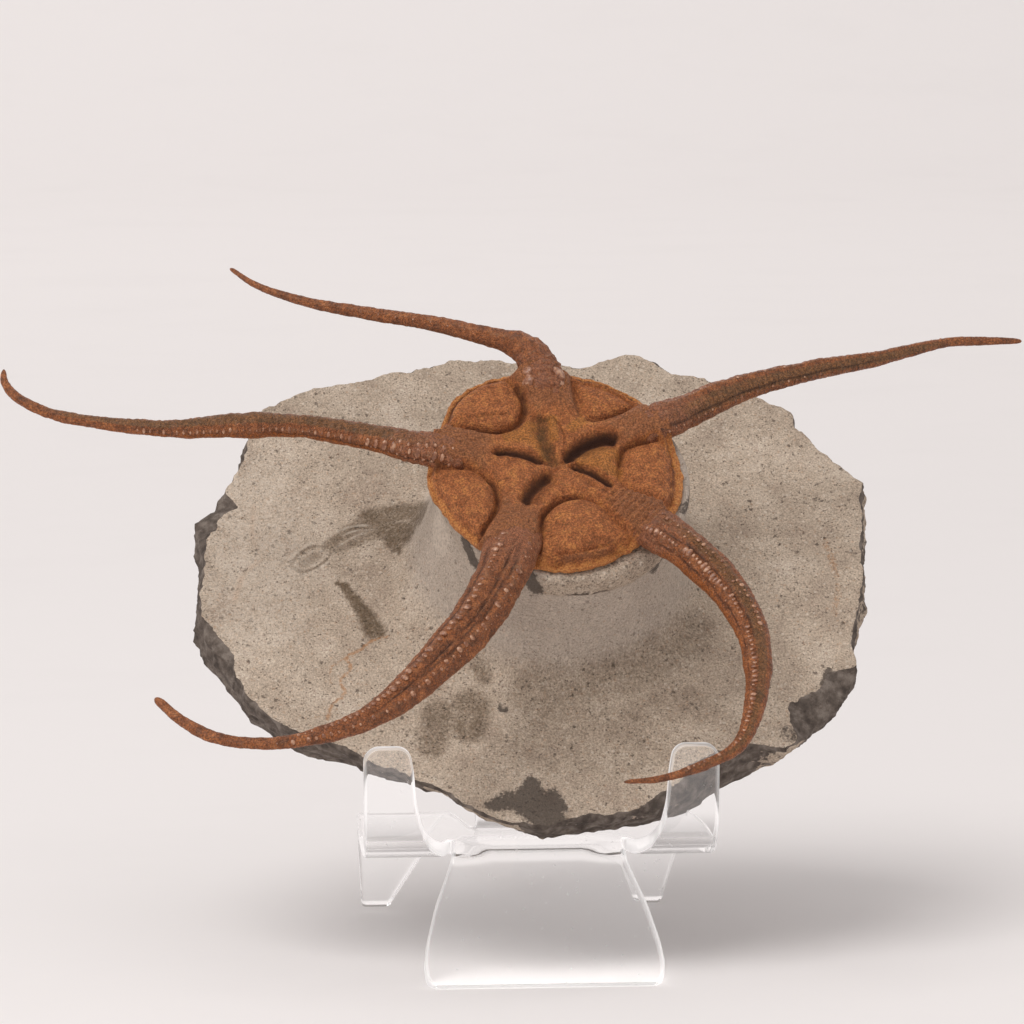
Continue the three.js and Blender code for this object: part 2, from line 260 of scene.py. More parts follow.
def closed_rings(name: str, rings: Array, masks: dict[str, Array]) -> Object:
    """A closed mesh of rings of points, with a point closing each end.

    Args:
        name: The object's name.
        rings: Points by ring and by place round the ring, in the slab's frame. Where the
            rings widen and run anticlockwise, the faces look up.
        masks: For each attribute's name, its value at each point of the rings.

    Returns:
        The object, at the origin.
    """
    count, spokes, _ = rings.shape
    places = np.vstack([rings.reshape(-1, 3), rings[0].mean(axis=0), rings[-1].mean(axis=0)])
    index = np.arange(count * spokes).reshape(count, spokes)
    after = np.roll(index, -1, axis=1)
    quads = np.stack([index[:-1], index[1:], after[1:], after[:-1]], -1)
    faces = [tuple(quad) for quad in quads.reshape(-1, 4).tolist()]
    start, end, last = count * spokes, count * spokes + 1, (count - 1) * spokes
    for here, there in zip(index[0].tolist(), after[0].tolist()):
        faces.append((start, here, there))
        faces.append((end, last + there, last + here))
    mesh = bpy.data.meshes.new(name)
    mesh.from_pydata(SLAB.to_row(places).tolist(), [], faces)
    for mask, values in masks.items():
        flat = values.reshape(-1)
        whole = np.concatenate([flat, [flat[:spokes].mean(), flat[-spokes:].mean()]])
        mesh.attributes.new(mask, "FLOAT", "POINT").data.foreach_set("value", whole.astype(np.float32))
    mesh.shade_smooth()
    mesh.validate()
    return add_object(name, mesh)


def dress(piece: Object, material: Material, slot: str, *nodes: str) -> Object:
    """Finishes a piece, which rides on the body.

    Args:
        piece: The piece.
        material: Its finish.
        slot: The slot that the finish belongs to. It is not used.
        *nodes: The CAD nodes that it stands for.

    Returns:
        The piece.
    """
    piece.data.materials.append(material)
    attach(piece, BODY)
    if nodes:
        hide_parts(*nodes)
    LOG.info("%s: %d faces", piece.name, len(piece.data.polygons))
    return piece


# ---- materials ----


def srgb(code: str) -> Colour:
    """A solid colour written as six hexadecimal digits, in linear light."""
    channels = [int(code[place : place + 2], 16) / 255 for place in (0, 2, 4)]
    linear = [c / 12.92 if c <= 0.04045 else ((c + 0.055) / 1.055) ** 2.4 for c in channels]
    return (*linear, 1.0)


class Socket(str, Enum):
    """The kinds of value that a node group takes and gives."""

    NUMBER = "NodeSocketFloat"
    COLOUR = "NodeSocketColor"
    VECTOR = "NodeSocketVector"
    GEOMETRY = "NodeSocketGeometry"
    WHOLE = "NodeSocketInt"
    MATERIAL = "NodeSocketMaterial"


class Mix(str, Enum):
    """How one colour is laid over another."""

    PLAIN = "MIX"
    MULTIPLY = "MULTIPLY"
    OVERLAY = "OVERLAY"


class Graph:
    """A node tree that is written as a few calls."""

    def __init__(self, tree: NodeTree) -> None:
        """Starts writing in a tree."""
        self.tree = tree

    def link(self, source: NodeSocket, target: NodeSocket) -> None:
        """Feeds an input from an output."""
        self.tree.links.new(source, target)

    def node(self, kind: str, inputs: dict | None = None, **settings: object) -> Node:
        """Adds a node.

        Args:
            kind: Its type name.
            inputs: For each input's name or number, a value or the output that feeds it.
            **settings: Its own properties.

        Returns:
            The node.
        """
        made = self.tree.nodes.new(kind)
        for name, value in settings.items():
            setattr(made, name, value)
        for name, value in (inputs or {}).items():
            if isinstance(value, NodeSocket):
                self.link(value, made.inputs[name])
            else:
                made.inputs[name].default_value = value
        return made

    def maths(self, operation: str, *values: Feed, clamp: bool = False) -> NodeSocket:
        """Adds a Math node and returns its result."""
        inputs = dict(enumerate(values))
        return self.node("ShaderNodeMath", inputs, operation=operation, use_clamp=clamp).outputs[0]

    def vector(self, operation: str, inputs: dict) -> NodeSocket:
        """Adds a Vector Math node and returns its result."""
        return self.node("ShaderNodeVectorMath", inputs, operation=operation).outputs[0]

    def times(self, value: Feed, factor: Feed) -> NodeSocket:
        """Multiplies two numbers."""
        return self.maths("MULTIPLY", value, factor)

    def step(self, value: NodeSocket, low: float, high: float) -> NodeSocket:
        """A smooth rise, or a fall where low is above high.

        Args:
            value: The number that it reads.
            low: Where it is 0.
            high: Where it is 1.

        Returns:
            A number from 0 to 1.
        """
        ends = (0.0, 1.0) if low < high else (1.0, 0.0)
        inputs = {0: value, 1: min(low, high), 2: max(low, high), 3: ends[0], 4: ends[1]}
        return self.node("ShaderNodeMapRange", inputs, interpolation_type="SMOOTHSTEP").outputs[0]

    def blend(self, share: Feed, below: Feed, above: Feed, mode: Mix = Mix.PLAIN) -> NodeSocket:
        """Lays one colour over another, as far as a share from 0 to 1."""
        inputs = {0: share, 6: below, 7: above}
        return self.node("ShaderNodeMix", inputs, data_type="RGBA", blend_type=mode.value).outputs[2]

    def attribute(self, name: str) -> NodeSocket:
        """A number that the mesh carries at each point."""
        return self.node("ShaderNodeAttribute", attribute_name=name).outputs["Fac"]


def new_group(
    name: str, kind: str, takes: dict[Socket, tuple[str, ...]], gives: tuple[str, Socket]
) -> tuple[Graph, dict[str, NodeSocket], NodeSocket]:
    """Starts a node group.

    Args:
        name: The group's name.
        kind: The tree's type name.
        takes: For each kind of input, their names.
        gives: Its output's name and kind.

    Returns:
        Its graph, its inputs by name, and the socket that its output goes to.
    """
    tree = bpy.data.node_groups.new(name, kind)
    for socket_kind, sockets in takes.items():
        for socket in sockets:
            tree.interface.new_socket(socket, in_out="INPUT", socket_type=socket_kind.value)
    tree.interface.new_socket(gives[0], in_out="OUTPUT", socket_type=gives[1].value)
    graph = Graph(tree)
    given = {socket.name: socket for socket in graph.node("NodeGroupInput").outputs if socket.name}
    return graph, given, graph.node("NodeGroupOutput").inputs[0]


class Effects:
    """Shader effects that several finishes share, each built once."""

    def __init__(self) -> None:
        """Builds the groups."""
        self.flecks = self._flecks()
        self.mottle = self._mottle()
        self.crust = self._crust()

    @staticmethod
    def _flecks() -> NodeTree:
        """Scattered small grains. Gives a mask, 1 on a grain."""
        takes = {Socket.VECTOR: ("Vector",), Socket.NUMBER: ("Scale", "Share", "Seed")}
        graph, given, result = new_group("Flecks", "ShaderNodeTree", takes, ("Mask", Socket.NUMBER))
        rate = graph.times(given["Scale"], 1.7)
        wander = graph.node("ShaderNodeTexNoise", {"Vector": given["Vector"], "Scale": rate}).outputs["Color"]
        centred = graph.vector("SUBTRACT", {0: wander, 1: (0.5, 0.5, 0.5)})
        moved = graph.vector("SCALE", {0: centred, "Scale": graph.maths("DIVIDE", 1.3, given["Scale"])})
        where = graph.vector("ADD", {0: given["Vector"], 1: moved})
        inputs = {"Vector": where, "W": given["Seed"], "Scale": given["Scale"]}
        cells = graph.node("ShaderNodeTexVoronoi", inputs, voronoi_dimensions="4D")
        picked = graph.node("ShaderNodeSeparateColor", {0: cells.outputs["Color"]}).outputs[0]
        chosen = graph.maths("LESS_THAN", picked, given["Share"])
        close = graph.step(cells.outputs["Distance"], 0.62, 0.3)
        graph.link(graph.times(chosen, close), result)
        return graph.tree

    @staticmethod
    def _mottle() -> NodeTree:
        """Cloudy change between three colours."""
        takes = {
            Socket.VECTOR: ("Vector",), Socket.NUMBER: ("Scale", "Detail", "Contrast"),
            Socket.COLOUR: ("Dark", "Middle", "Light"),
        }
        graph, given, result = new_group("Mottle", "ShaderNodeTree", takes, ("Color", Socket.COLOUR))
        inputs = {"Vector": given["Vector"], "Scale": given["Scale"], "Detail": given["Detail"]}
        cloud = graph.node("ShaderNodeTexNoise", {**inputs, "Roughness": 0.6}).outputs["Fac"]
        swing = graph.times(graph.maths("SUBTRACT", cloud, 0.5), given["Contrast"])
        below = graph.maths("MULTIPLY", swing, -4.0, clamp=True)
        above = graph.maths("MULTIPLY", swing, 4.0, clamp=True)
        darker = graph.blend(below, given["Middle"], given["Dark"])
        graph.link(graph.blend(above, darker, given["Light"]), result)
        return graph.tree

    @staticmethod
    def _crust() -> NodeTree:
        """Height of a gritty surface: soft bumps with fine grit on them."""
        takes = {Socket.VECTOR: ("Vector",), Socket.NUMBER: ("Scale", "Grit")}
        graph, given, result = new_group("Crust", "ShaderNodeTree", takes, ("Height", Socket.NUMBER))
        inputs = {"Vector": given["Vector"], "Scale": given["Scale"], "Detail": 3.0}
        soft = graph.node("ShaderNodeTexNoise", inputs).outputs["Fac"]
        inputs = {"Vector": given["Vector"], "Scale": graph.times(given["Scale"], 3.1)}
        grit = graph.node("ShaderNodeTexVoronoi", inputs).outputs["Distance"]
        graph.link(graph.maths("SUBTRACT", soft, graph.times(grit, given["Grit"])), result)
        return graph.tree


class Finish:
    """A material that is being written, with its Principled shader and its colour so far."""

    def __init__(self, name: str, effects: Effects) -> None:
        """Starts an empty material.

        Args:
            name: The material's name.
            effects: The shared effects.
        """
        self.material = bpy.data.materials.new(name)
        self.material.use_nodes = True
        self.material.node_tree.nodes.clear()
        self.effects = effects
        self.graph = Graph(self.material.node_tree)
        self.shader = self.graph.node("ShaderNodeBsdfPrincipled")
        self.output = self.graph.node("ShaderNodeOutputMaterial")
        self.graph.link(self.shader.outputs[0], self.output.inputs[0])
        self.where = self.graph.node("ShaderNodeTexCoord").outputs["Object"]
        self.colour: Feed = (0.5, 0.5, 0.5, 1.0)

    def set(self, **values: float | tuple[float, ...]) -> None:
        """Sets the shader's own sockets. An underline in a name stands for a space."""
        for name, value in values.items():
            self.shader.inputs[name.replace("_", " ")].default_value = value

    def feed(self, name: str, source: NodeSocket) -> None:
        """Feeds one of the shader's sockets from an output."""
        self.graph.link(source, self.shader.inputs[name])

    def effect(self, group: NodeTree, size: float, **inputs: Feed) -> NodeSocket:
        """Places a shared effect, whose size is in millimetres, and returns its output."""
        inputs |= {"Scale": 1.0 / (size * MM), "Vector": self.where}
        return self.graph.node("ShaderNodeGroup", inputs, node_tree=group).outputs[0]

    def noise(self, size: float, detail: float, seed: float) -> NodeSocket:
        """Smooth noise, about 0 to 1, whose bumps are a size across, in millimetres."""
        inputs = {"Vector": self.where, "W": seed, "Scale": 1.0 / (size * MM), "Detail": detail}
        return self.graph.node("ShaderNodeTexNoise", inputs, noise_dimensions="4D").outputs["Fac"]

    def swing(self, size: float, detail: float, seed: float) -> NodeSocket:
        """The same noise, about 0."""
        return self.graph.maths("SUBTRACT", self.noise(size, detail, seed), 0.5)

    def clouds(self, size: float, tones: tuple[str, ...], contrast: float, detail: float = 5.0) -> NodeSocket:
        """Cloudy change between a dark, a middle and a light tone."""
        colours = dict(zip(("Dark", "Middle", "Light"), map(srgb, tones)))
        return self.effect(self.effects.mottle, size, Contrast=contrast, Detail=detail, **colours)

    def lay(self, mask: Feed, tone: str, most: Feed = 1.0, mode: Mix = Mix.PLAIN) -> None:
        """Lays a tone over the colour so far, where a mask shows and up to a share."""
        self.colour = self.graph.blend(self.graph.times(mask, most), self.colour, srgb(tone), mode)

    def veil(
        self, mask: str, tone: str, most: float, swing: NodeSocket, grit: float,
        limits: tuple[float, float], mode: Mix = Mix.PLAIN,
    ) -> None:
        """Lays a tone where the mesh's own mask shows, with a ragged edge.

        Args:
            mask: The attribute's name.
            tone: The tone.
            most: The largest share that it covers.
            swing: The noise that makes the edge ragged.
            grit: How much of it is added.
            limits: Where the sum leaves 0 and reaches 1.
            mode: How the tone is laid.
        """
        edge = self.graph.maths("MULTIPLY_ADD", swing, grit, self.graph.attribute(mask))
        self.lay(self.graph.step(edge, *limits), tone, most, mode)

    def grain(
        self, share: Feed, contrast: float = 2.2, detail: float = 4.0,
        tones: tuple[str, ...] = ("7c7c7c", "bababa", "ececec"),
    ) -> None:
        """Lays fine light and dark grain over the colour so far, which keeps its hue.

        Args:
            share: How much of it shows.
            contrast: How far apart its light and dark are.
            detail: How many finer layers it has.
            tones: Its dark, middle and light tone.
        """
        fine = self.clouds(0.27, tones, contrast, detail)
        self.colour = self.graph.blend(share, self.colour, fine, Mix.OVERLAY)

    def gloss(self, size: float, low: float, high: float) -> None:
        """Lets the roughness wander between two values, in patches of a size in millimetres."""
        inputs = {0: self.noise(size, 3.0, 5.0), 3: low, 4: high}
        self.feed("Roughness", self.graph.node("ShaderNodeMapRange", inputs).outputs[0])

    def clear_shadow(self, tint: Colour) -> None:
        """Lets lamps' light pass straight through, tinted, and lets out rays that many reflections trap."""
        passing = self.graph.node("ShaderNodeBsdfTransparent", {"Color": tint})
        path = self.graph.node("ShaderNodeLightPath").outputs
        trapped = self.graph.maths("GREATER_THAN", path["Ray Depth"], 3.5)
        straight = self.graph.maths("MAXIMUM", path["Is Shadow Ray"], trapped)
        inputs = {0: straight, 1: self.shader.outputs[0], 2: passing.outputs[0]}
        mixed = self.graph.node("ShaderNodeMixShader", inputs)
        self.graph.link(mixed.outputs[0], self.output.inputs[0])

    def bump(self, height: NodeSocket, depth: float) -> None:
        """Raises the surface by a height, whose 0 to 1 is a depth in millimetres."""
        inputs = {"Strength": 1.0, "Distance": depth * MM, "Height": height}
        self.feed("Normal", self.graph.node("ShaderNodeBump", inputs).outputs[0])


@dataclass(frozen=True)
class StoneFinish:
    """Pale silty limestone, smoother where it was carved and dark grey where it is broken."""

    tones: tuple[str, ...] = ("a18f7f", "b7a694", "cabaa9")
    sand: tuple[str, ...] = ("7c7a78", "bcbcbc", "efecea")
    fracture: tuple[str, ...] = ("4c433d", "675c54", "857a71")
    grain: str = "493e36"
    pale_grain: str = "e0d2c2"
    carved: str = "b4a89d"
    stain_and_shadow: str = "857866"
    rust: str = "ac7542"

    def build(self, effects: Effects) -> Material:
        """Writes the material."""
        made = Finish("slab_stone", effects)
        graph = made.graph
        carved, rough = graph.attribute("carved"), graph.attribute("rough")
        made.colour = made.clouds(6.0, self.tones, 1.0)
        made.lay(carved, self.carved, 0.6)
        plain = graph.maths("SUBTRACT", 1.0, graph.times(carved, 0.35))
        made.grain(graph.times(plain, 0.55), 1.4, 3.0, self.sand)
        grains = made.effect(effects.flecks, 0.27, Share=0.13)
        specks = made.effect(effects.flecks, 0.62, Share=0.04, Seed=4.0)
        ochre = made.effect(effects.flecks, 0.45, Share=0.12, Seed=13.0)
        pale = made.effect(effects.flecks, 0.5, Share=0.12, Seed=9.0)
        coarse = made.effect(effects.flecks, 0.6, Share=0.42, Seed=6.0)
        for mask, tone, most in (
            (ochre, self.rust, 0.22), (grains, self.grain, 0.66), (specks, self.grain, 0.7),
            (pale, self.pale_grain, 0.5),
        ):
            made.lay(graph.times(mask, plain), tone, most)
        made.lay(graph.times(coarse, rough), self.grain, 0.55)

        wander = graph.times(made.swing(1.6, 3.0, 5.0), 0.9)
        ragged = graph.maths("MULTIPLY_ADD", made.swing(0.42, 2.0, 3.0), 1.7, wander)
        for mask, tone, most, grit, full, mode in (
            # Real stains, with painted shadow below the pedestal.
            ("stain_and_shadow", self.stain_and_shadow, 0.9, 0.6, 1.25, Mix.MULTIPLY),
            ("rust", self.rust, 0.6, 0.9, 0.95, Mix.PLAIN),
            # Pale scratches, with painted light on the lit left side and on the pedestal's left wall.
            ("pale", self.pale_grain, 0.55, 1.0, 1.0, Mix.PLAIN),
            ("dark", self.fracture[0], 0.85, 0.9, 0.8, Mix.PLAIN),
        ):
            made.veil(mask, tone, most, ragged, grit, (0.2, full), mode)

        jagged = graph.maths("MULTIPLY_ADD", made.swing(1.1, 6.0, 7.0), 1.9, graph.attribute("fracture"))
        broken = made.clouds(1.8, self.fracture, 1.7)
        made.feed("Base Color", graph.blend(graph.step(jagged, 0.45, 0.6), made.colour, broken))
        made.set(Roughness=0.86, Specular_IOR_Level=0.28)
        grit = made.effect(effects.crust, 0.6, Grit=0.7)
        pits = graph.times(graph.maths("ADD", grains, specks), 0.5)
        made.bump(graph.times(graph.maths("SUBTRACT", grit, pits), plain), 0.14)
        return made.material


@dataclass(frozen=True)
class DiscFinish:
    """Varnished fossil shell: orange brown, golden between the mouth's slits, with painted shade in its
    slits, grooves and hollows.
    """

    tones: tuple[str, ...] = ("93542c", "b46d3f", "cf864a")
    golden: str = "b57637"
    flange: str = "d48b4e"
    crust: str = "9f6642"
    hollow_shade: str = "40200e"
    olive: str = "5f4b2a"

    def build(self, effects: Effects) -> Material:
        """Writes the material."""
        made = Finish("fossil_disc", effects)
        made.colour = made.clouds(1.3, self.tones, 1.3, 8.0)
        swing = made.swing(1.1, 5.0, 2.0)
        for mask, tone, most in (
            ("golden", self.golden, 0.7), ("crust", self.crust, 0.85),
            ("olive", self.olive, 0.8), ("flange", self.flange, 0.9),
        ):
            made.veil(mask, tone, most, swing, 1.4, (0.1, 0.95))
        made.grain(0.68)
        made.lay(made.effect(effects.flecks, 0.36, Share=0.16, Seed=2.0), self.olive, 0.45)
        # Painted shade: dark brown in the slits, scoops, grooves and valley, between the ribs, at the
        # cushions' feet and round the mouth.
        made.veil("hollow_shade", self.hollow_shade, 1.0, swing, 0.3, (0.08, 1.0))
        made.feed("Base Color", made.colour)
        made.gloss(0.9, 0.36, 0.66)
        made.set(Specular_IOR_Level=0.38)
        made.bump(made.effect(effects.crust, 0.45, Grit=0.9), 0.28)
        return made.material


@dataclass(frozen=True)
class ArmFinish:
    """The arms' varnished fossil plates: reddish brown, olive on the flanks, pale on the bumps, with painted
    shade in the furrows and painted glints and highlights.
    """

    tones: tuple[str, ...] = ("714327", "92552f", "ac6a3d")
    olive: str = "6b5232"
    orange: str = "9e561c"
    crust: str = "9b6244"
    hollow_shade: str = "34190c"
    bump: str = "b08461"
    seam_spacing: float = 0.85

    def build(self, effects: Effects) -> Material:
        """Writes the material."""
        made = Finish("fossil_arm", effects)
        graph = made.graph
        made.colour = made.clouds(1.5, self.tones, 1.4)
        wander = made.swing(0.9, 4.0, 6.0)
        for mask, tone, most in (
            ("olive", self.olive, 0.6), ("orange", self.orange, 0.8), ("crust", self.crust, 0.8),
        ):
            made.veil(mask, tone, most, wander, 1.8, (0.15, 1.0))
        # The joints between the plates take the same dark tone.
        seams = graph.maths("SINE", graph.times(graph.attribute("along"), 2 * math.pi / self.seam_spacing))
        seam = graph.times(graph.step(seams, 0.55, 1.0), graph.attribute("seamed"))
        made.lay(seam, self.hollow_shade, 0.4)
        made.grain(0.66)
        # Painted shade: dark in the arm's furrows.
        made.lay(graph.attribute("hollow_shade"), self.hollow_shade)
        # Painted glints: pale specks of highlight, most near the root.
        glints = made.effect(effects.flecks, 0.5, Share=0.22, Seed=8.0)
        near_root = graph.maths("MULTIPLY_ADD", graph.attribute("crust"), 0.3, 0.22)
        made.lay(glints, self.bump, near_root)
        # The ridges' pale colour, partly painted highlight.
        made.lay(graph.times(graph.attribute("pale"), graph.step(wander, -0.12, 0.25)), self.bump, 0.6)
        made.feed("Base Color", made.colour)
        made.gloss(0.7, 0.3, 0.58)
        made.set(Specular_IOR_Level=0.4, Coat_Weight=0.1, Coat_Roughness=0.22)
        made.bump(graph.maths("SUBTRACT", made.effect(effects.crust, 0.55, Grit=0.8), seam), 0.3)
        return made.material


@dataclass(frozen=True)
class TubercleFinish:
    """The small raised plates on the arms: paler and glossier than the arms."""

    tones: tuple[str, ...] = ("764527", "955f3f", "bf9274")

    def build(self, effects: Effects) -> Material:
        """Writes the material."""
        made = Finish("fossil_tubercles", effects)
        made.feed("Base Color", made.clouds(0.8, self.tones, 2.2, 3.0))
        made.set(Roughness=0.33, Specular_IOR_Level=0.6, Coat_Weight=0.3, Coat_Roughness=0.15)
        made.bump(made.effect(effects.crust, 0.35, Grit=0.4), 0.05)
        return made.material


@dataclass(frozen=True)
class PlasticFinish:
    """Clear acrylic sheet with a few fine scuffs and a painted glow of its own, brightest on its sawn edges.
    """

    tint: Colour = (0.985, 0.985, 0.985, 1.0)
    refraction: float = 1.36
    shadow: Colour = (0.93, 0.93, 0.93, 1.0)
    sawn_roughness: float = 0.3
    # Painted glow, which the sheet gives off as light of its own: a little from its faces, more from its sawn
    # edges.
    haze_and_face_glow: Colour = (0.036, 0.035, 0.035, 1.0)
    glow: Colour = (0.22, 0.216, 0.214, 1.0)

    def build(self, effects: Effects) -> Material:
        """Writes the material."""
        made = Finish("clear_plastic", effects)
        graph = made.graph
        scuff = made.effect(effects.flecks, 0.5, Share=0.02, Seed=1.0)
        cloud = made.noise(5.0, 3.0, 1.0)
        haze_and_face_glow = graph.maths("MULTIPLY_ADD", scuff, 0.3, graph.times(cloud, 0.06))
        sawn = graph.step(graph.attribute("sawn"), 0.05, 0.6)
        made.feed("Roughness", graph.maths("MULTIPLY_ADD", sawn, self.sawn_roughness, haze_and_face_glow))
        # Painted glow: the sheet's emission, faint on its faces and bright on its sawn edges.
        made.feed("Emission Color", graph.blend(sawn, self.haze_and_face_glow, self.glow))
        made.set(Emission_Strength=1.0)
        made.set(Base_Color=self.tint, Metallic=0.0, IOR=self.refraction, Transmission_Weight=1.0)
        made.bump(cloud, 0.004)
        made.clear_shadow(self.shadow)
        return made.material


@dataclass(frozen=True)
class BackdropFinish:
    """Matt paper, a warm off-white."""

    paper: str = "f1edec"

    def build(self, effects: Effects) -> Material:
        """Writes the material."""
        made = Finish("backdrop_paper", effects)
        tone = srgb(self.paper)
        shade = tuple(0.985 * channel for channel in tone[:3]) + (1.0,)
        inputs = {"Contrast": 1.0, "Detail": 5.0, "Dark": shade, "Middle": tone, "Light": tone}
        made.feed("Base Color", made.effect(effects.mottle, 60.0, **inputs))
        made.set(Roughness=0.95, Specular_IOR_Level=0.1)
        return made.material


# ---- the stone ----


@dataclass
class MatrixSlab:
    """The slab of stone and the pedestal that was carved from it."""

    thickness: float = 9.0
    mean_radius: float = 48.0
    top_offset: tuple[float, float] = (0.45, -0.3)
    spokes: int = 660
    # The broken outline, anticlockwise from its lowest point.
    outline: Points = (
        (-4, -43.5), (6, -42.2), (12, -41), (16.5, -39.8), (22, -35.6), (27.5, -32.5), (33.5, -28),
        (38, -24.5),
        (42.3, -19.5), (43.4, -14), (45.8, -6), (46.8, 4), (47.7, 15), (42, 22), (38.7, 26.5), (38.5, 30),
        (33.5, 32.5), (26, 37), (21, 38.2), (17.5, 41), (14.5, 42.3), (7, 39.5), (-5.5, 41), (-11.5, 40.5),
        (-21.5, 38.5), (-24, 37), (-34, 35), (-42, 31), (-45, 22.5), (-47, 16.5), (-52, 10), (-51.5, 2),
        (-52.2, -9), (-48, -16), (-44.5, -22), (-38.5, -27.5), (-32, -29.5), (-21, -34), (-15, -36),
        (-9, -40.5),
    )
    # How far the face's lip juts out over the back edge, by the angle round.
    lip: Table = (
        (-180, 0), (-160, 1), (-145, 3.4), (-128, 5.2), (-122, 5.5), (-116, 6.4), (-109, 7.2), (-104.5, 7.4),
        (-99, 6), (-95, 5), (-90, 4.3), (-85, 4.2), (-80, 4.4), (-77, 4.2), (-72.3, 3), (-69.5, 2.2),
        (-64.8, 1.2), (-60, 1), (-54, 1), (-50, 1.9), (-47.5, 4.2), (-45, 4.6), (-41, 3.4), (-38, 2.6),
        (-32, 2.5), (-28, 2), (-24, 1.3), (-20, 0.3), (-15, 0), (179, 0),
    )
    # How far in from the lip the face is chipped away, by the angle round.
    chips: Table = (
        (-178, 0.2), (-174, 0.2), (-167, 1.2), (-162, 1), (-159, 0.1), (-155, 0.4), (-150, 0.1),
        (-144, 0.5), (-140, 0.1), (-134, 0.5), (-128, 0.1), (-118, 0.1), (-106, 0.2), (-98, 0.2),
        (-92, 0.2), (-88, 0.6), (-82, 0.8), (-78, 0.5), (-74, 1.6), (-69.5, 1.6), (-64.8, 3.2),
        (-60.5, 2.3), (-56.5, 1.7), (-53, 1.2), (-50, 0.5), (-46, 0.15), (-44, 0.4), (-42, 3),
        (-39.5, 4.6), (-36, 4.4), (-32, 4), (-29, 3.8), (-27, 3.2), (-25.4, 1.6), (-24, 0.2), (-10, 0.2),
        (60, 0.3), (120, 0.4), (158, 0.2), (163, 0.4), (165.3, 4.4), (167, 3.4), (170.8, 2.9),
        (173.4, 0.7), (176, 0.3),
    )
    # How much of the side is weathered as pale as the face, by the angle round.
    weathered: Table = (
        (-180, 0), (-119, 0), (-117, 0.9), (-114, 0.8), (-112, 0.2), (-108, 0.8), (-101, 0.9),
        (-98.5, 0.2), (-52, 0), (-46.5, 0.9), (-43.5, 0.9), (-41.5, 0.1), (-20, 0), (-12, 0.6), (0, 0.3),
        (12, 0.7), (30, 0.2), (179, 0),
    )
    # The pedestal's wall and foot: radius and height.
    wall: Points = (
        (17.9, 19.9), (18.35, 19.2), (18.25, 17.4), (18, 15.8), (18.2, 13), (18.6, 10), (19.4, 6.8),
        (20.9, 3.4), (23.4, 1.1), (28.5, 0.15),
    )

    def _edges(self, degrees: Array) -> tuple[Array, ...]:
        """Reads the broken edge.

        Args:
            degrees: Angles round the slab.

        Returns:
            The radius of the back edge and of the lip, and how far in the lip is chipped.
        """
        corners = np.asarray(self.outline + self.outline[:1], float)
        shares = np.linspace(0.0, 1.0, 24, endpoint=False)[:, None]
        dense = np.vstack([a + shares * (b - a) for a, b in zip(corners[:-1], corners[1:])])
        turns = np.degrees(np.arctan2(dense[:, 1], dense[:, 0]))
        order = np.argsort(turns)
        radius = np.interp(degrees, turns[order], np.hypot(dense[:, 0], dense[:, 1])[order], period=360.0)
        flat = on_plane(round_turn(degrees) * self.mean_radius)
        broken = 0.4 * roughness(flat, 4.0, 4, 1) + 0.22 * roughness(flat, 1.1, 3, 2)
        back = radius - 0.2 + 0.35 * roughness(flat, 4.0, 5, 3)
        lip = radius + read_turn(self.lip, degrees) + broken - 0.2
        depth = read_turn(self.chips, degrees)
        fine = rise(depth, 0.4, 1.6) * roughness(flat, 0.9, 3, 14)
        chipped = np.maximum(depth + 0.5 * roughness(flat, 2.6, 3, 4) + 0.35 * fine, 0.12)
        return back, lip, chipped

    def _rings(self) -> tuple[Array, Array]:
        """Lays rings of points from the pedestal's top, down its wall, over the face and round the back.

        Returns:
            The points by ring and by place round it, and how far each is broken stone.
        """
        degrees = np.linspace(-180.0, 180.0, self.spokes, endpoint=False)
        around = round_turn(degrees)
        back, lip, chipped = self._edges(degrees)
        inner = lip - chipped
        waves = 0.35 * np.sin(3 * np.radians(degrees) + 1)
        rings, broken = [], []

        def add(radius: float | Array, height: float | Array, fresh: float | Array) -> None:
            """Adds a ring at a radius and a height."""
            spread = [np.broadcast_to(value, degrees.shape) for value in (radius, height, fresh)]
            rings.append(np.column_stack([around * spread[0][:, None], spread[1]]))
            broken.append(spread[2])

        for radius in np.linspace(2.0, 17.3, 4):
            add(radius, self.wall[0][1], 0.0)
        for radius, height in spline(self.wall, 4):
            add(radius, height, 0.0)
        foot = self.wall[-1][0]
        for share in np.linspace(0.0, 1.0, 58)[1:]:
            add(foot + share * (inner - foot), 0.2 * (1 - share) ** 4 + waves * share, 0.0)
        slope = 0.5 + 0.32 * chipped
        for share in np.linspace(0.0, 1.0, 7)[1:]:
            add(inner + share * chipped, waves - slope * share**1.3, 1.0)
        top = waves - slope
        fresh = 1.0 - read_turn(self.weathered, degrees)
        for share in np.linspace(0.0, 1.0, 17)[1:]:
            bulge = 0.5 * np.sin(math.pi * share)
            add(lip + share * (back - lip) + bulge, top + share * (-self.thickness - top), fresh)
        for share in np.linspace(1.0, 0.03, 18)[1:]:
            add(back * share, -self.thickness, 0.75)
        return np.array(rings), np.array(broken)

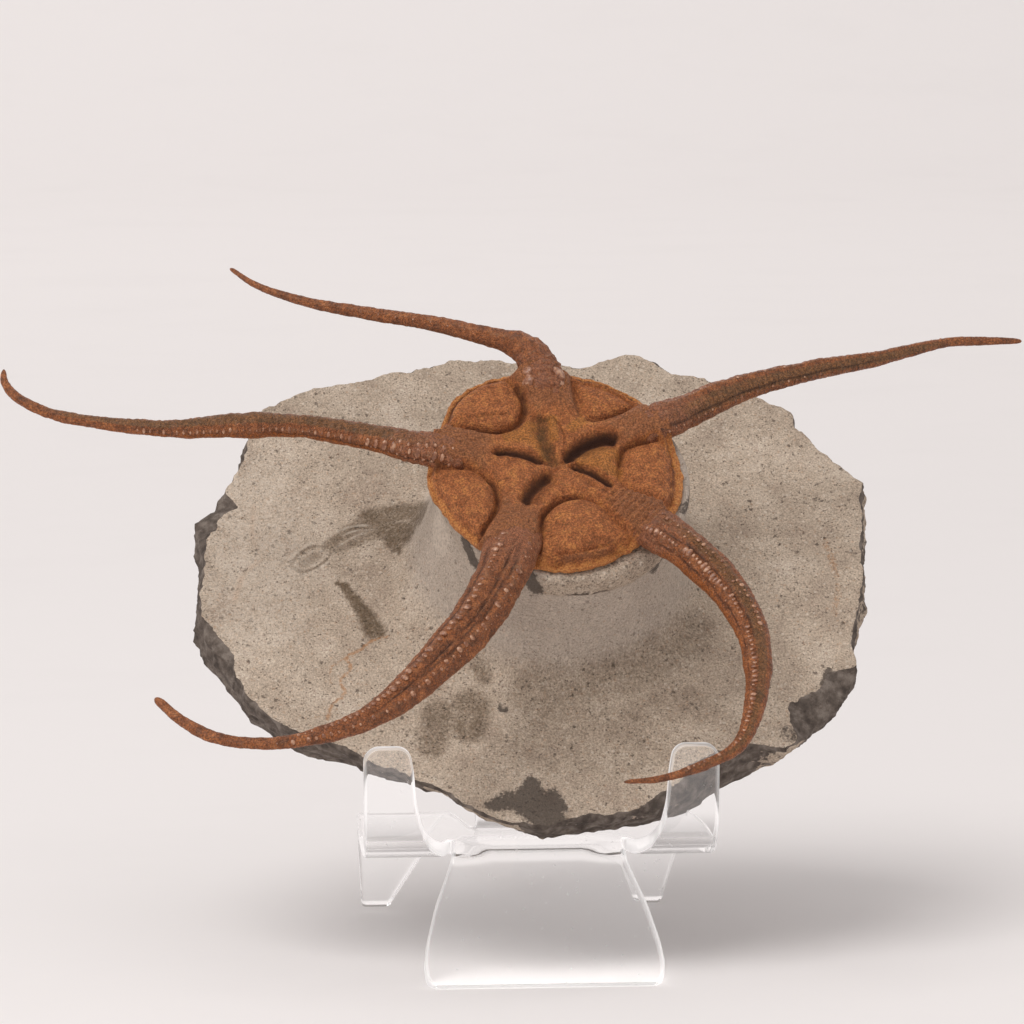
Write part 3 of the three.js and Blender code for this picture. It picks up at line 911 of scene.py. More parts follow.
    def _roughen(self, rings: Array) -> tuple[Array, dict[str, Array]]:
        """Adds the swellings of the face, the marks of carving and the breaks' facets.

        Args:
            rings: The plain points.

        Returns:
            The roughened points, and the masks of the carved wall and of its rough band.
        """
        places = rings.reshape(-1, 3)
        height = places[:, 2]
        radius = np.hypot(places[:, 0], places[:, 1])
        outward = places[:, :2] / radius[:, None]
        on_wall = rise(height, 1.0, 5.0) * fall(radius, 25.0, 30.0)
        on_face = (1 - on_wall) * fall(-height, 0.5, 2.0)
        under = rise(-height, self.thickness - 0.6, self.thickness)
        side = rise(-height, 0.2, 1.2) * (1 - under)
        waves = 0.22 * roughness(places, 9.0, 3, 5) + 0.05 * roughness(places, 1.3, 3, 6)
        facets = 0.55 * roughness(places * [1, 1, 1.8], 3.2, 4, 7)
        grit = 0.10 * roughness(places, 0.9, 2, 8)
        scraped = 0.10 * roughness(places * [1, 1, 0.35], 2.2, 3, 9)
        moved = places.copy()
        moved[:, 2] += on_face * waves - under * (0.45 * roughness(places, 7.0, 4, 10))
        moved[:, :2] += outward * (side * (facets + grit) + on_wall * scraped)[:, None]
        # The pedestal's top stands a little to the right and down the slope.
        moved[:, :2] += rise(height, 4.0, 18.0)[:, None] * np.array(self.top_offset)
        # A rough unfinished band runs round the front of the wall, close under the disc.
        angle = np.degrees(np.arctan2(places[:, 1], places[:, 0]))
        front = rise(angle, -108, -100) * fall(angle, -46, -34)
        lower = 15.7 + 0.25 * roughness(places, 2.5, 2, 11)
        band = front * rise(height - lower, -0.15, 0.25) * fall(radius, 22, 24)
        moved[:, :2] += outward * (band * (0.42 + 0.22 * roughness(places, 0.8, 3, 12)))[:, None]
        return moved.reshape(rings.shape), {"carved": on_wall * (1 - band), "rough": band}

    def build(self, material: Material) -> Object:
        """Builds the stone.

        Args:
            material: Its finish.

        Returns:
            The finished piece.
        """
        rings, broken = self._rings()
        shaped, surface = self._roughen(rings)
        masks = {"fracture": broken, **surface, **StoneMarks().masks(shaped.reshape(-1, 3))}
        return dress(closed_rings("stone_slab", shaped, masks), material, "slab_stone", "matrix_slab")


@dataclass(frozen=True)
class StoneMarks:
    """Stains, veins, cracks and scratches on the stone, with painted shadow and painted light among them:
    each a line with its width along it.
    """

    # Each stain: its line, its half width at the start and at the end, and its strength.
    stains_and_shadow: tuple = (
        ([(-38.6, 0.6, 0.1), (-37.2, 2.8, 0.1), (-34.9, 4.2, 0.1), (-32.8, 3.6, 0.2), (-32.6, 2.6, 0.2)],
         0.35, 0.35, 0.95),
        ([(-38.6, 0.6, 0.1), (-37.2, -0.6, 0.1), (-35.2, 0, 0.1), (-33.6, 1.2, 0.2), (-32.6, 2.6, 0.2)],
         0.35, 0.35, 0.95),
        ([(-36.9, 0.8, 0.1), (-34.6, 2.4, 0.2)], 0.9, 1, 0.75),
        ([(-33, 4.2, 0.2), (-29.5, 7, 0.2), (-26, 9, 0.3)], 1.1, 1.8, 0.85),
        ([(-32, 3.2, 0.2), (-29.4, 4.6, 0.2), (-26.4, 6, 0.3)], 0.6, 1.6, 0.75),
        ([(-26.6, 9.2, 0.2), (-23.8, 9.4, 0.6), (-20.6, 9.4, 2.5), (-19.4, 6, 5)], 2.2, 2.6, 0.95),
        ([(-25.2, 6.4, 0.3), (-23, 6.4, 0.8), (-21.4, 4.4, 2.5)], 1.8, 2.2, 1),
        ([(-23.6, 4.4, 0.8), (-22.6, 1.4, 1.8)], 1.6, 0.5, 1.05),
        ([(-31, -3.6, 0), (-29.4, -6.4, 0), (-27.9, -9.4, 0), (-26.8, -12, 0)], 0.7, 1.9, 1.1),
        ([(-31.9, -3, 0), (-30.4, -3.4, 0)], 0.5, 0.5, 1.1),
        ([(-26, -12.9, 0), (-24.4, -11.8, 0)], 0.35, 0.25, 1.3),
        ([(-23.2, -12.8, 0), (-21.8, -13.6, 0)], 0.45, 0.4, 1),
        ([(-12, -18.6, 0), (-11.4, -21.4, 0)], 2.4, 1.8, 0.8),
        ([(-13.4, -26.6, 0), (-14.2, -30.4, 0)], 3.6, 3, 0.85),
        ([(-18.2, -27.6, 0), (-19.6, -33.8, 0)], 3, 2.4, 0.8),
        # Painted shadow: the pedestal's soft shadow below its foot, then its fainter tail down the slope.
        ([(-4, -24.5, 0.2), (3, -23, 0.2), (9, -20.8, 0.5), (15, -17.6, 0.8), (20, -13.6, 1)],
         5.6, 4.6, 0.58),
        ([(-2, -32, 0), (8, -32.5, 0), (17, -29, 0)], 9, 8, 0.5),
    )
    # Pale scratches round the loop-shaped stain and along its neck, then painted light.
    pales: tuple = (
        ([(-39.1, 0.4, 0.1), (-37.6, 3.1, 0.1), (-35, 4.8, 0.1), (-32.6, 4.2, 0.2)], 0.25, 0.25, 0.85),
        ([(-38.6, -0.2, 0.1), (-37, -1.2, 0.1), (-34.8, -0.4, 0.1), (-32.8, 1.4, 0.2)], 0.25, 0.25, 0.85),
        ([(-33.4, 5.4, 0.2), (-30, 7.6, 0.2), (-26.6, 8, 0.3)], 0.3, 0.3, 0.75),
        ([(-31.4, 4.2, 0.2), (-28.6, 6, 0.2), (-25.6, 7.2, 0.3)], 0.3, 0.2, 0.7),
        ([(-30.6, 6.2, 0.2), (-28, 7, 0.2), (-25, 6, 0.3)], 0.25, 0.2, 0.7),
        ([(-6, -38.2, -0.4), (-1, -37.4, -0.4), (3.6, -35.6, -0.4)], 0.35, 0.2, 0.9),
        # Painted light: the slab's left side and the pedestal's left wall, lighter where the lamp falls.
        ([(-45, 15, 0), (-43, 6, 0), (-44, -8, 0)], 9, 9, 0.55),
        ([(-18.4, 1, 16), (-18.2, -4, 14)], 5, 5, 0.7),
    )
    rusts: tuple = (
        ([(-20.2, -2.6, 0.2), (-20.6, -5, 0.2), (-21.7, -6.6, 0.2), (-21.4, -8.8, 0.2),
          (-22.6, -10.8, 0.2)], 0.3, 0.3, 0.75),
        ([(-24.4, -13.2, 0), (-27.2, -13.9, 0), (-29.4, -15.8, 0), (-31, -16.6, 0), (-30.6, -19, 0),
          (-32.2, -21, 0), (-31.6, -23.4, 0), (-33.6, -25.6, 0), (-34.4, -28.4, 0)], 0.28, 0.3, 0.8),
        ([(-31.4, -17, 0), (-33.4, -18.6, 0), (-33.6, -21.6, 0)], 0.25, 0.2, 0.6),
        ([(-43.6, 12, 0), (-44, 6, 0), (-42.6, 2, 0)], 0.5, 0.4, 0.5),
        ([(-47, -6, 0), (-45.6, -1, 0), (-42.6, 2, 0)], 0.7, 0.5, 0.5),
        ([(41, 4, 0), (42, -4, 0), (41, -10, 0)], 0.7, 0.5, 0.45),
        ([(20, -40.2, -8.8), (34, -29, -8.8), (43.6, -19, -8.8), (46.6, -4, -8.8)], 0.5, 0.5, 0.85),
        ([(-50, -14, -8.8), (-38, -28.4, -8.8), (-20, -34.6, -8.8), (-4, -43, -8.8)],
         0.4, 0.5, 0.8),
    )
    # Dark bare stone: beside the arms' roots, in the crack under the rough band, and scratches.
    darks: tuple = (
        ([(-14.4, -11.2, 18.8), (-13.2, -12.2, 15.8)], 1.2, 1.3, 1),
        ([(-5.6, -17.2, 18.6), (-4.4, -17.6, 16.2)], 1.5, 1.2, 1),
        ([(14.6, -11.6, 18.9), (13.4, -13.2, 15.3)], 1.2, 1.1, 1),
        ([(17.3, -6.2, 19.6), (18.8, -3, 19), (19.2, 0.6, 18.6)], 0.8, 0.5, 0.75),
        ([(-17.6, 8.8, 19.6), (-16.4, 11, 19.8)], 0.9, 0.8, 0.9),
        ([(-8.6, 17.4, 19.8), (-6.2, 18, 19.9)], 0.7, 0.6, 0.9),
        ([(-4.6, -17.6, 15.5), (0, -18.3, 15.7), (5.2, -18.1, 15.6), (9.2, -16.8, 15.1),
          (12.4, -14.9, 14.8)], 0.3, 0.4, 1.1),
        ([(-5.6, -40.4, -0.2), (-6.2, -43.6, -0.2)], 1.2, 3, 1.15),
        ([(-9, -43.6, -0.2), (-11.6, -44.4, -0.2)], 2, 1.2, 1),
        ([(-3, -43.2, -0.2), (-1.6, -44.8, -0.2)], 1.8, 1, 1.05),
        ([(-4.6, -45.6, -0.3), (-2.6, -48.2, -0.6)], 2.8, 2.2, 1.2),
        ([(-34.5, -33.2, 0), (-33.4, -33.8, 0)], 0.9, 0.7, 0.9),
        ([(38.4, -22.8, -0.2), (39.2, -20.2, -0.2)], 0.8, 0.6, 1),
        ([(32.4, -31.6, -0.2), (34.4, -32.6, -0.2)], 1.4, 1.1, 0.6),
        ([(20.4, -36.4, -0.2), (24, -34.4, -0.2)], 0.9, 0.7, 0.9),
        ([(40.5, 14.8, 0), (43.5, 15.8, 0)], 0.35, 0.3, 0.75),
        ([(39.8, 12, 0), (43, 11.4, 0), (45.6, 12.2, 0)], 0.4, 0.3, 0.75),
        ([(41, 9.6, 0), (44.5, 8.4, 0)], 0.3, 0.3, 0.7),
        ([(-8.6, -22.4, 0.4), (-7.2, -23.6, 0.4)], 0.35, 0.3, 0.75),
        ([(-9.2, -27, 0.2), (-8.6, -27.2, 0.2)], 0.6, 0.5, 0.8),
    )

    @staticmethod
    def _lay(marks: tuple, places: Array) -> Array:
        """Reads a family of marks.

        Args:
            marks: The marks.
            places: Points of the stone, in the slab's frame.

        Returns:
            How strongly they show at each place.
        """
        shown = np.zeros(len(places))
        for points, start, end, strength in marks:
            line = spline(points, 6) if len(points) > 2 else np.asarray(points, float)
            middle = line.mean(axis=0)
            reach = np.linalg.norm(line - middle, axis=1).max() + 2.2 * max(start, end)
            near = np.flatnonzero(np.linalg.norm(places - middle, axis=1) < reach)
            away, along = distance_to(line, places[near])
            width = start + (end - start) * along
            here = strength * fall(away / width, 0.45, 1.5)
            shown[near] = np.maximum(shown[near], here)
        return shown

    def masks(self, places: Array) -> dict[str, Array]:
        """Reads the marks.

        Args:
            places: Points of the stone, in the slab's frame.

        Returns:
            For each mask's name, its value at each place.
        """
        families = {"stain_and_shadow": self.stains_and_shadow, "rust": self.rusts, "pale": self.pales, "dark": self.darks}
        return {name: self._lay(marks, places) for name, marks in families.items()}


# ---- the fossil's disc ----


@dataclass(frozen=True)
class Lobe:
    """One of the five cushions between the arms' roots: its outline, crest and how far it slopes."""

    outline: tuple
    crest: float
    slope: float


@dataclass(frozen=True)
class Cut:
    """A line that is cut into the disc: its points, its half width and depth, and how much painted shade it
    gets.
    """

    points: tuple
    half_width: float
    depth: float
    shade: float


@dataclass(frozen=True)
class DiscPlaces:
    """Places on the disc: x and y, how far from its centre, at which angle, and the rim's radius there."""

    flat: Array
    radius: Array
    degrees: Array
    rim: Array

    def off_root(self, direction: float) -> tuple[Array, Array]:
        """How far out along a direction from the centre they are, and how far to its side."""
        turned = np.radians(self.degrees - direction)
        return self.radius * np.cos(turned), self.radius * np.sin(turned)

    def rough(self, size: float, octaves: int, seed: int) -> Array:
        """Smooth random height there, as roughness gives it."""
        return roughness(on_plane(self.flat), size, octaves, seed)


@dataclass
class StarDisc:
    """The star's round body, mouth side up. Heights are above its flat underside."""

    spokes: int = 500
    rings: int = 120
    underside: float = 20.0
    flange: float = 1.25
    star_height: float = 3.3
    lobe_foot: float = 2.05
    mouth: tuple[float, float] = (-0.5, 0.6)
    rib_spacing: float = 1.15
    # The disc's radius from its centre, by the angle round.
    outline: Table = (
        (-178, 18.9), (-166, 19), (-156, 18.6), (-141, 18.6), (-130, 18.9), (-102, 18.5), (-88, 18.8),
        (-76, 18.4), (-59, 17.8), (-40, 18), (-25, 18.3), (-16, 18.5), (-5, 18.2), (17, 17.9),
        (50, 17.9), (78, 17.7), (109, 18.6), (119, 19.3), (138, 19.5), (153, 18.6), (166, 18.6),
    )
    # How wide the bare rim is, by the angle round.
    rim_width: Table = (
        (-180, 0.75), (-140, 0.8), (-100, 0.8), (-60, 0.85), (-30, 1.1), (0, 1.3), (15, 1.2), (50, 0.7),
        (80, 0.7), (110, 0.75), (150, 0.75),
    )
    # The arms' roots: direction in degrees, half width at the rim, and height at the rim.
    roots: tuple = ((95.5, 3.3, 4.9), (169, 2.8, 4.7), (240.5, 3.8, 4.8), (317.5, 3.4, 4.8), (27, 2.8, 4.7))
    lobes: tuple = (
        Lobe(((-16, 8.3), (-14.5, 7.5), (-12.5, 6.9), (-10, 6.7), (-8, 7), (-6.1, 8.3), (-5, 10.3),
              (-4.9, 12.6), (-5.8, 15.1), (-7.5, 16.6), (-10, 16.2), (-12.5, 14.8), (-14.7, 12.7),
              (-15.9, 10.2)), 3.7, 3.6),
        Lobe(((3.1, 15.9), (6, 15.3), (9, 13.6), (11.2, 11.5), (10.2, 10.6), (8, 9.7), (5.5, 9.2),
              (4.3, 9.6), (3.6, 11.4), (3.2, 13.4)), 3, 2.4),
        Lobe(((14.2, 5), (12, 4.3), (9.9, 3.5), (8.9, 2), (8.3, -0.5), (8.3, -3), (9.8, -4.8),
              (12, -6.2), (14.5, -7), (15.4, -4.8), (15.7, -1), (15.4, 3.2)), 3.3, 3.3),
        Lobe(((-3.4, -10.2), (-2.6, -8.5), (-1, -7), (1, -6.2), (3.5, -6.5), (5.5, -8), (7, -10.5),
              (8.8, -13.2), (7, -14.4), (3, -15.6), (0, -16.3), (-3.4, -16.6), (-4.1, -15.4),
              (-3.7, -13)), 3.9, 4.2),
        Lobe(((-18, -0.4), (-16, -0.2), (-13.5, -0.1), (-11.5, -1.6), (-10.1, -3.5), (-9.7, -6),
              (-10.3, -9), (-11.6, -11.6), (-12.8, -13.4), (-14.9, -10.4), (-16.9, -7), (-18, -3.5)),
             3.4, 3.8),
    )
    slits: tuple = (
        Cut(((0.4, 0.6), (2, 2.7), (4.2, 4.3), (6.6, 5.2), (8.8, 4.7)), 1.4, 1.5, 1),
        Cut(((0.9, -0.2), (3, -0.9), (4.6, -1.9), (6.1, -3.3), (7, -4.5)), 0.85, 1.1, 0.9),
        Cut(((-1.4, -1.3), (-2.9, -2.6), (-4.4, -4.2), (-5.4, -6), (-5.6, -7.9)), 1.3, 1.2, 0.85),
        Cut(((-2.3, 0.3), (-4, 1.3), (-6, 2.1), (-8, 2.4), (-10, 2.1)), 0.85, 1, 0.9),
    )
    # The hollows that lead down to the slits, on their lower sides, with soft painted shade.
    scoops: tuple = (
        Cut(((2.2, 1.4), (4.6, 3), (6.6, 3.9), (8.4, 4)), 1.9, 0.75, 0.46),
        Cut(((-1, -2.6), (-2.9, -4.2), (-4, -6), (-4.3, -7.6)), 1.9, 0.7, 0.42),
        Cut(((1.8, -1.7), (3.3, -2.8), (4.7, -4.2)), 1.2, 0.45, 0.28),
        Cut(((-3.4, 0.1), (-5.6, 0.9), (-8, 1.2)), 1.2, 0.4, 0.3),
        Cut(((-3.4, 9.4), (-3.9, 7.6), (-3.6, 5.8)), 1.2, 0.25, 0.3),
        Cut(((3.4, -3.4), (4.9, -4.5), (6.3, -5.6)), 0.7, 0.2, 0.3),
        Cut(((-12.4, 8.7), (-10.2, 9.2), (-7.6, 9.4)), 0.35, 0.25, 0.35),
    )
    valley: Cut = Cut(
        ((-0.9, -0.6), (-1.3, 1.2), (-2, 3.4), (-2.5, 5.8), (-2.6, 8), (-2.2, 9.6)), 1.5, 0.8, 0.4
    )
    grooves: tuple = (
        Cut(((-14.2, 7.4), (-12, 6.9), (-10, 6.6), (-7.8, 6.8), (-5.9, 8), (-4.9, 9.6), (-4.7, 11.6),
             (-5.2, 13.8), (-6.4, 16)), 0.8, 0.72, 0.6),
        Cut(((3.9, 8.9), (5.2, 8.6), (7, 9.1), (9, 9.9), (10.9, 10.8)), 0.7, 0.58, 0.48),
        Cut(((2.6, 16.4), (2.7, 14.2), (2.9, 11.8), (3.3, 9.8), (3.9, 8.9)), 0.5, 0.43, 0.4),
        Cut(((15, 5), (13, 4.7), (11, 4), (9.3, 3.1), (8.6, 1.3), (8.2, -0.6)), 0.6, 0.5, 0.44),
        Cut(((-4.7, -17.4), (-4.2, -15), (-3.9, -12.6), (-3.6, -10.3), (-2.9, -8.7), (-1.4, -7.1),
             (0.6, -6.2), (3, -6)), 0.6, 0.65, 0.56),
        Cut(((-11.8, -1.6), (-10.2, -3.3), (-9.7, -5.4), (-9.7, -7.4), (-10.5, -9.6), (-12, -12),
             (-13.1, -14.2)), 0.65, 0.72, 0.56),
        Cut(((-19.4, -0.4), (-17.4, 0.3), (-15.4, 0.3), (-14, -0.1)), 0.6, 0.58, 0.52),
        Cut(((-14, -0.1), (-12.6, -0.9), (-11.2, -2.2)), 0.4, 0.29, 0.28),
        Cut(((15.7, 4.4), (16.1, 0.3), (15.9, -3.7), (15.2, -7.2)), 0.45, 0.36, 0.48),
        Cut(((-0.9, 9.2), (0.1, 7.2), (0.7, 5.2), (0.5, 3.4)), 0.28, 0.25, 0.4),
        Cut(((8.9, -14.2), (5, -15.9), (1, -17), (-3.6, -17.5)), 0.5, 0.25, 0.36),
        Cut(((-18.9, -3), (-17.6, -7.4), (-15.4, -11), (-13.2, -14)), 0.4, 0.22, 0.32),
        Cut(((-16, 8.2), (-15.3, 11.1), (-13.5, 13.6), (-10.9, 15.6), (-7.4, 16.9)), 0.5, 0.5, 0.7),
        Cut(((2.8, 16.9), (6, 16.2), (9.2, 14.5), (12.2, 12)), 0.5, 0.6, 0.8),
    )
    # The golden petals between the slits: their middle lines and half widths.
    petals: tuple = (
        (((2.6, 1.9), (4.8, 2.4), (7.2, 1.6)), 1.9), (((3.2, 0.8), (5.6, 0.2), (7.6, -1.4)), 1.5),
        (((-3.4, 4.6), (-5.2, 5.2), (-7.4, 5.2)), 1.5), (((-3.9, 7.2), (-5, 6.4)), 1.4),
        (((1.9, 6.6), (3.4, 8.2)), 1.1), (((-0.9, 5), (-0.9, 8.4)), 0.9),
        (((-2.2, 1.6), (-3.4, 3.2)), 0.9),
    )

    def _roots(self, places: DiscPlaces) -> tuple[Array, Array]:
        """Raises the arms' roots.

        Args:
            places: Places on the disc.

        Returns:
            How far a root covers each place, and the height of the star with its roots.
        """
        covered = np.zeros(len(places.flat))
        height = np.full(len(places.flat), self.star_height)
        ragged = 0.35 * places.rough(2.0, 3, 21)
        for direction, half_width, top in self.roots:
            forward, across = places.off_root(direction)
            share = fall(np.abs(across + ragged), half_width - 1.2, half_width + 1.0)
            covered = np.maximum(covered, share * rise(forward, 11.0, 13.5))
            crown = np.sqrt(np.clip(1 - (across / (half_width + 1.0)) ** 2, 0, 1))
            grown = self.star_height + (top - self.star_height) * rise(forward, 7.5, 16.0) * crown
            height = np.where(forward > 4, np.maximum(height, grown), height)
        return covered, height

    def _cushions(self, places: Array) -> tuple[Array, Array]:
        """Raises the lobes.

        Args:
            places: Places as x and y.

        Returns:
            How deep each place is inside a lobe, below 0 outside, and the lobes' height there.
        """
        depth = np.full(len(places), -np.inf)
        height = np.full(len(places), self.lobe_foot)
        for lobe in self.lobes:
            inside = depth_inside(spline(lobe.outline, 5, closed=True), places)
            dome = np.sqrt(1 - (1 - np.clip(inside / lobe.slope, 0, 1)) ** 2)
            height = np.where(inside > 0, self.lobe_foot + (lobe.crest - self.lobe_foot) * dome, height)
            depth = np.maximum(depth, inside)
        return depth, height

    def _cuts(self, places: Array) -> tuple[Array, ...]:
        """Reads the slits, scoops, grooves and valley.

        Args:
            places: Places as x and y.

        Returns:
            How far they sink each place, how much painted shade they lay there, and how olive they make it.
        """
        sunk, hollow_shade, olive = (np.zeros(len(places)) for _ in range(3))
        for cut in (*self.slits, *self.scoops, *self.grooves, self.valley):
            away, along = distance_to(spline(cut.points, 7), places)
            ends = rise(along, 0.0, 0.12) * fall(along, 0.9, 1.0)
            beside = away / (cut.half_width * (0.5 + 0.5 * ends))
            sunk += cut.depth * fall(beside, 0.0, 1.2) * (0.35 + 0.65 * ends)
            shade = cut.shade * fall(beside, 0.1, 1.2) * (0.4 + 0.6 * ends)
            hollow_shade = np.maximum(hollow_shade, shade)
            if cut is self.valley:
                olive = 0.6 * ends * fall(away / cut.half_width, 0.2, 1.3)
        return sunk, hollow_shade, olive

    def _ribs(self, places: DiscPlaces, depth: Array) -> tuple[Array, Array]:
        """Raises cross ribs on the broad lower right root.

        Args:
            places: Places on the disc.
            depth: How deep they are inside a lobe.

        Returns:
            The ribs' height, and the painted shade between them.
        """
        direction, half_width, _ = self.roots[3]
        forward, across = places.off_root(direction)
        wavy = forward + 0.35 * places.rough(2.2, 2, 26) + 0.05 * across**2
        ribbed = fall(np.abs(across), half_width + 0.2, half_width + 1.4)
        ribbed *= rise(forward, 7.5, 10.0) * fall(depth, -0.6, 0.2)
        ribs = np.sin(2 * math.pi * wavy / self.rib_spacing)
        # Painted shade between the ribs.
        return 0.17 * ribbed * ribs, 0.35 * ribbed * rise(-ribs, 0.2, 1.0)

    def _upper_side(self, places: DiscPlaces) -> tuple[Array, dict[str, Array]]:
        """Shapes the upper side.

        Args:
            places: Places on the disc.

        Returns:
            Heights above the underside, and masks by name.
        """
        flat, radius, rim = places.flat, places.radius, places.rim
        rim_line = rim - read_turn(self.rim_width, places.degrees) + 0.12 * places.rough(3.0, 2, 20)
        covered, root_height = self._roots(places)
        body = np.maximum(fall(radius, rim_line - 0.45, rim_line + 0.35), covered)
        depth, cushion = self._cushions(flat)
        shoulder = 1 - (1 - np.clip(-depth / 2.1, 0, 1)) ** 2
        mouth = np.linalg.norm(flat - self.mouth, axis=1)
        star = root_height - 0.9 * (1 - shoulder) - 0.55 * fall(mouth, 0.0, 5.0)
        in_lobe = rise(depth, -0.35, 0.3)
        height = star * (1 - in_lobe) + cushion * in_lobe
        # The bare rim stands higher up the slope, behind the cushions.
        bare = self.flange + 0.9 * rise(np.sin(np.radians(places.degrees)), 0.2, 0.7)
        height = bare + (height - bare) * body
        golden = np.zeros(len(flat))
        for points, half_width in self.petals:
            away, _ = distance_to(spline(points, 5), flat)
            golden = np.maximum(golden, fall(away, 0.3 * half_width, 1.25 * half_width))
            height += 0.22 * hump(away, 1.2 * half_width) * (1 - in_lobe)
        sunk, hollow_shade, olive = self._cuts(flat)
        ribs, furrows = self._ribs(places, depth)
        height += ribs - sunk
        # Grit and crust: coarse on the arms' roots, fine on the cushions.
        outer = rise(radius, 8.0, 12.5) * fall(depth, -1.1, -0.1) * body
        height += outer * (0.24 * places.rough(1.3, 3, 22) + 0.12 * places.rough(0.6, 2, 23))
        height += 0.12 * places.rough(2.4, 3, 24) + 0.06 * places.rough(0.8, 3, 25)
        edge = rise(radius, rim_line - 0.2, rim_line + 0.5) * (1 - covered)
        height += edge * (0.12 * places.rough(0.9, 3, 27) - 0.25 * rise(radius, rim - 0.8, rim))
        # Painted shade at the cushions' feet and round the low mouth, darker than the crowns.
        feet = 0.26 * hump(depth, 0.9) * body
        middle = 0.14 * fall(mouth, 3.0, 9.0) * (1 - golden)
        hollow_shade = np.clip(np.maximum.reduce([hollow_shade, furrows, feet, middle]), 0, 1)
        masks = {"golden": golden, "hollow_shade": hollow_shade, "crust": outer, "olive": olive, "flange": edge}
        return np.maximum(height, 0.7), masks

    def build(self, material: Material) -> Object:
        """Builds the disc.

        Args:
            material: Its finish.

        Returns:
            The finished piece.
        """
        degrees = np.linspace(-180.0, 180.0, self.spokes, endpoint=False)
        around = round_turn(degrees)
        ragged = roughness(on_plane(around * SLAB.disc_radius), 1.6, 3, 28)
        rim = read_turn(self.outline, degrees) + 0.26 * ragged - 0.15
        shares = np.concatenate([np.linspace(0.012, 0.94, self.rings - 10), np.linspace(0.945, 1.0, 10)])
        radius = shares[:, None] * rim[None, :]
        centre = np.array(SLAB.disc_centre)
        flat = (radius[..., None] * around[None] + centre).reshape(-1, 2)
        spread = (np.broadcast_to(value, radius.shape).reshape(-1) for value in (radius, degrees, rim))
        height, masks = self._upper_side(DiscPlaces(flat, *spread))
        upper = np.column_stack([flat, self.underside + height]).reshape(*radius.shape, 3)
        top = upper[-1, :, 2]
        lower = []
        for share, drop in ((1.006, 0.3), (1.006, 0.62), (0.992, 0.9), (0.95, 1.0), (0.5, 1.0), (0.05, 1.0)):
            ring = (upper[-1, :, :2] - centre) * share + centre
            lower.append(np.column_stack([ring, top + drop * (self.underside - top)]))
        rings = np.concatenate([upper, np.array(lower)])
        for name, values in masks.items():
            grid = values.reshape(radius.shape)
            masks[name] = np.concatenate([grid, np.repeat(grid[-1:], len(lower), axis=0)])
        return dress(closed_rings("star_disc", rings, masks), material, "fossil_disc", "disc")


# ---- the arms ----


@dataclass(frozen=True)
class Furrow:
    """A ridge along an arm, or a furrow where raise_by, in shares of the half width, is below 0.

    around is its angle at its start and end: 0 is the right-hand side seen from the disc, 90 the top.
    """

    around: tuple[float, float]
    half_width: float
    raise_by: float
    start: float
    end: float


@dataclass(frozen=True)
class Row:
    """A row of small raised plates along an arm: where, and their spacing, size and stretch across."""

    around: tuple[float, float]
    start: float
    end: float
    spacing: float
    size: float
    stretch: float = 1.3


